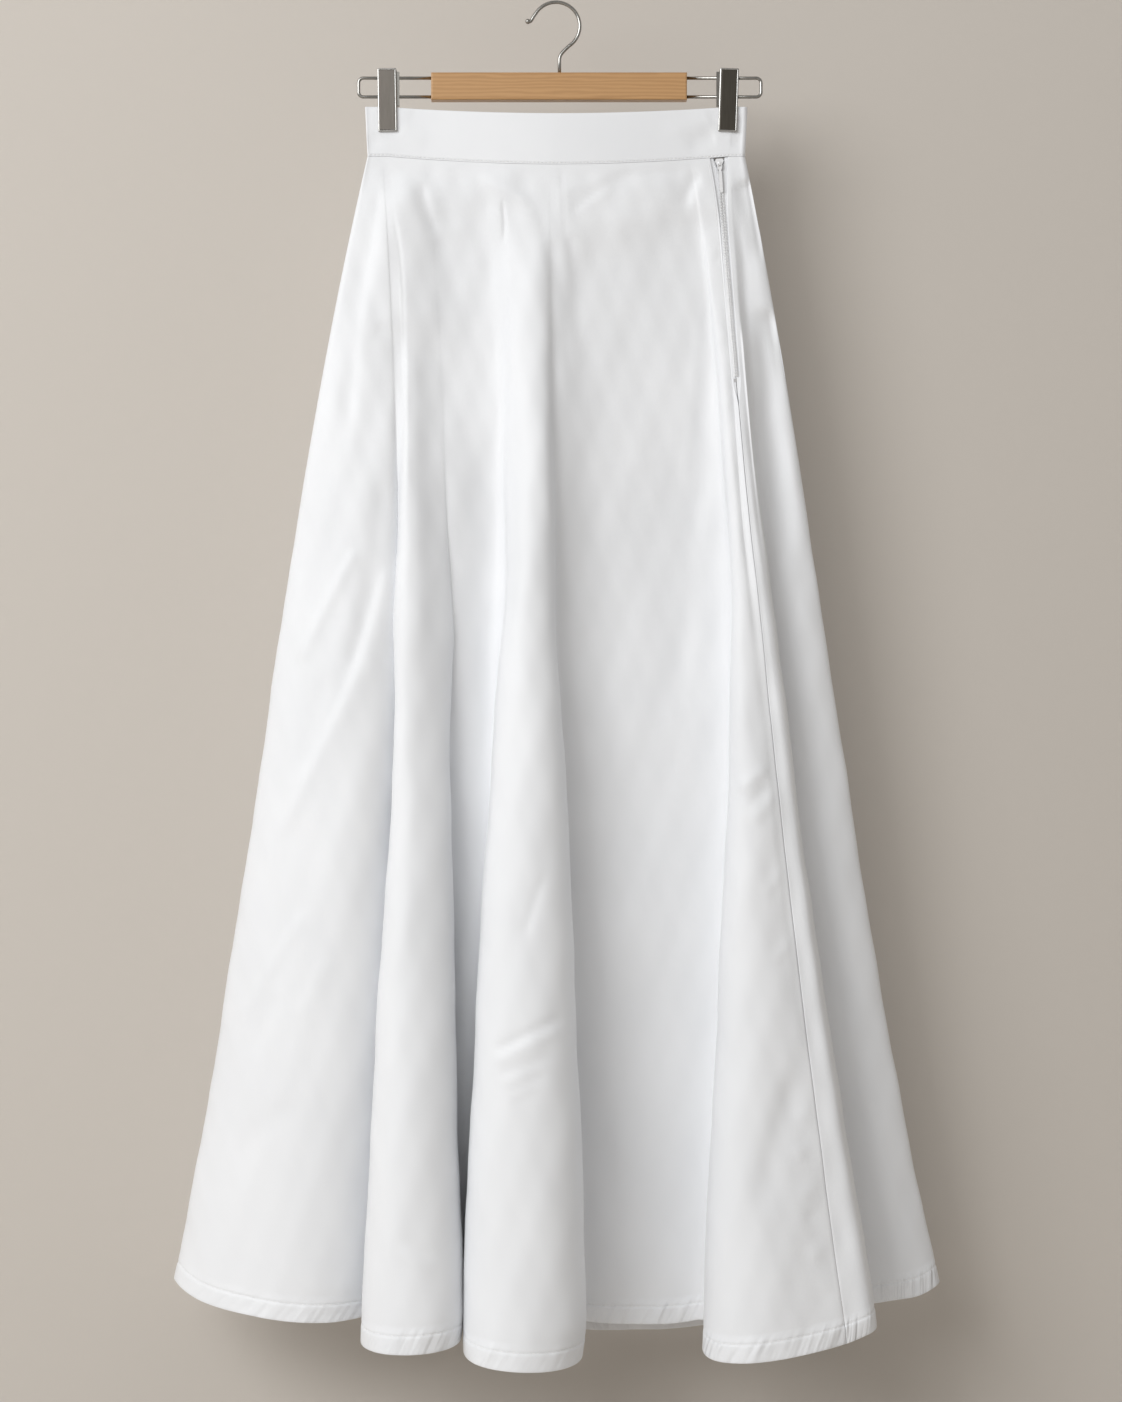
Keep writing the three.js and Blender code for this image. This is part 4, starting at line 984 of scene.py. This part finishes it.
def jaw_form(name, side, face, profile, material, smooth=True):
    """Rounded outlines of a jaw at each inset and depth of a profile, closed after the last one."""
    height = JAW["top"] - JAW["bottom"]
    front = -face * (PRESSED_HALF + PIECE_GAP + JAW["thickness"])
    tilt = math.radians(JAW_TILT[side])
    rings = []
    for inset, depth in profile:
        radius = max(JAW["corner"] - inset, JAW["least_corner"])
        reach_x = JAW["width"] / 2 - inset - radius
        reach_z = height / 2 - inset - radius
        ring = []
        for corner, (sign_x, sign_z) in enumerate([(1, 1), (-1, 1), (-1, -1), (1, -1)]):
            for angle in np.radians(np.linspace(0, 90, JAW_CORNER_POINTS) + 90 * corner):
                u = sign_x * reach_x + radius * math.cos(angle)
                v = sign_z * reach_z + radius * math.sin(angle)
                ring.append((u * math.cos(tilt) - v * math.sin(tilt), front + face * depth,
                             u * math.sin(tilt) + v * math.cos(tilt)))
        rings.append(ring)
    points = np.array(rings) + (CLIP_X[side], 0, (JAW["top"] + JAW["bottom"]) / 2)
    rows, count = points.shape[:2]
    faces = grid_faces(rows, count, closed_round=True) + [[(rows - 1) * count + i for i in range(count)]]
    return mesh_object(name, points, faces, material, smooth=smooth)


def build_clip(side):
    # The plate's tone is painted light: lighter on the left clip as a painted reflection, darker on the right
    # clip as painted shade
    painted_plate_metal = PAINTED_LIT_AND_SHADED_PLATES[side]
    for place, face in (("front", 1), ("back", -1)):
        rim = jaw_form(f"clip_rim_{side}_{place}", side, face, RIM_PROFILE, RIM_METAL)
        add_piece(rim, replaces=(f"clip_{side}_{place}",))
        plate = jaw_form(f"clip_plate_{side}_{place}", side, face, PLATE_PROFILE, painted_plate_metal, smooth=False)
        add_piece(plate)


# Stage, lights and camera
STAGE = {"wall_y": 95.0, "floor_z": -1500.0, "top": 1500.0, "front": -4000.0, "bend": 250.0,
         "bend_steps": 8, "half_width": 3500.0}
COOL_WHITE = (0.975, 0.988, 1.0)
# Lights in metres and watts: name, place, size, power and colour
LIGHTS = [
    ("key", (-1.0, -3.1, 0.9), 1.4, 16, COOL_WHITE),
    ("key_wide", (-2.2, -2.6, 0.9), 2.2, 66, COOL_WHITE),
    ("side", (-3.1, -1.9, 0.3), 2.4, 14, COOL_WHITE),
    ("rear", (0.4, 2.4, -0.2), 2.0, 22, (1.0, 1.0, 1.0)),
]
LIGHTS_TARGET = (0, 0, -0.6)
WORLD = {"Color": (1.0, 0.978, 0.945, 1), "Strength": 0.44}


def wall_material():
    """A plain greige wall that is seen from the front only and lets light pass from behind."""
    material, shader, add_node = new_material("wall")
    noise = add_node("TexNoise", Vector=add_node("TexCoord"), Scale=260.0, Detail=4.0)
    set_up(shader, Base_Color=(0.57, 0.53, 0.484, 1), Roughness=0.95, Specular_IOR_Level=0.1,
           Normal=add_node("Bump", Height=noise, Strength=0.12, Distance=0.6 * MM))
    see_through = add_node("Math", add_node("NewGeometry"), add_node("LightPath"), operation="MAXIMUM")
    mixed = add_node("MixShader", see_through, shader.outputs["BSDF"], add_node("BsdfTransparent"))
    set_up(material.node_tree.nodes["Material Output"], Surface=mixed)
    return material


def build_stage():
    """A wall behind the skirt that bends into a floor far below it."""
    bend, wall_y, floor_z = STAGE["bend"], STAGE["wall_y"], STAGE["floor_z"]
    profile = [(wall_y, STAGE["top"]), (wall_y, floor_z + bend)]
    for angle in np.linspace(0, math.pi / 2, STAGE["bend_steps"] + 1)[1:]:
        profile.append((wall_y - bend * (1 - math.cos(angle)), floor_z + bend * (1 - math.sin(angle))))
    profile.append((STAGE["front"], floor_z))
    points = [(x, y, z) for y, z in profile for x in (-STAGE["half_width"], STAGE["half_width"])]
    faces = [(2 * i, 2 * i + 2, 2 * i + 3, 2 * i + 1) for i in range(len(profile) - 1)]
    stage = mesh_object("stage_wall", points, faces, wall_material())


def area_light(name, place, size, power, colour):
    light = bpy.data.lights.new(name, "AREA")
    light.shape = "DISK"
    light.size = size
    light.energy = power
    light.color = colour
    lamp = bpy.data.objects.new(name, light)
    lamp.location = place
    lamp.rotation_euler = (Vector(LIGHTS_TARGET) - Vector(place)).to_track_quat("-Z", "Y").to_euler()
    bpy.context.scene.collection.objects.link(lamp)


def build_world():
    world = bpy.data.worlds.new("studio")
    world.use_nodes = True
    set_up(world.node_tree.nodes["Background"], **WORLD)
    bpy.context.scene.world = world


def build_camera():
    camera = bpy.data.cameras.new("camera")
    camera.sensor_width = SENSOR
    camera.lens = SENSOR * CAMERA_DISTANCE / PICTURE_HEIGHT
    camera.clip_end = CAMERA_CLIP
    holder = bpy.data.objects.new("camera", camera)
    holder.location = Vector((CAMERA_X, -CAMERA_DISTANCE, CAMERA_Z)) * MM
    holder.rotation_euler = (math.radians(90), 0, 0)
    bpy.context.scene.collection.objects.link(holder)
    bpy.context.scene.camera = holder


def dress_node(node, material):
    """Gives a CAD node that stays its material."""
    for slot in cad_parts[node].material_slots:
        slot.material = material


front = panel("front", REAR_SEAM - LINES, ZIP_SEAM, seam_half_gap, zip_half_gap)
back = panel("back", ZIP_SEAM, REAR_SEAM, zip_half_gap, seam_half_gap)
band = build_band()
build_stitches()
for build_trim in (build_tape, build_teeth):
    for side, sign in (("front", -1), ("back", 1)):
        build_trim(side, sign)
build_hook()
for side in ("left", "right"):
    build_loop(side)
    build_clip(side)
    dress_node(f"clip_{side}_sleeve", SLEEVE_METAL)
for node in ("zip_slider", "zip_pull", "zip_stop"):
    dress_node(node, ZIP_METAL)
dress_node("hanger_bar", BEECH)
build_stage()
for row in LIGHTS:
    area_light(*row)
build_world()
build_camera()
bpy.context.scene.view_settings.view_transform = "Standard"
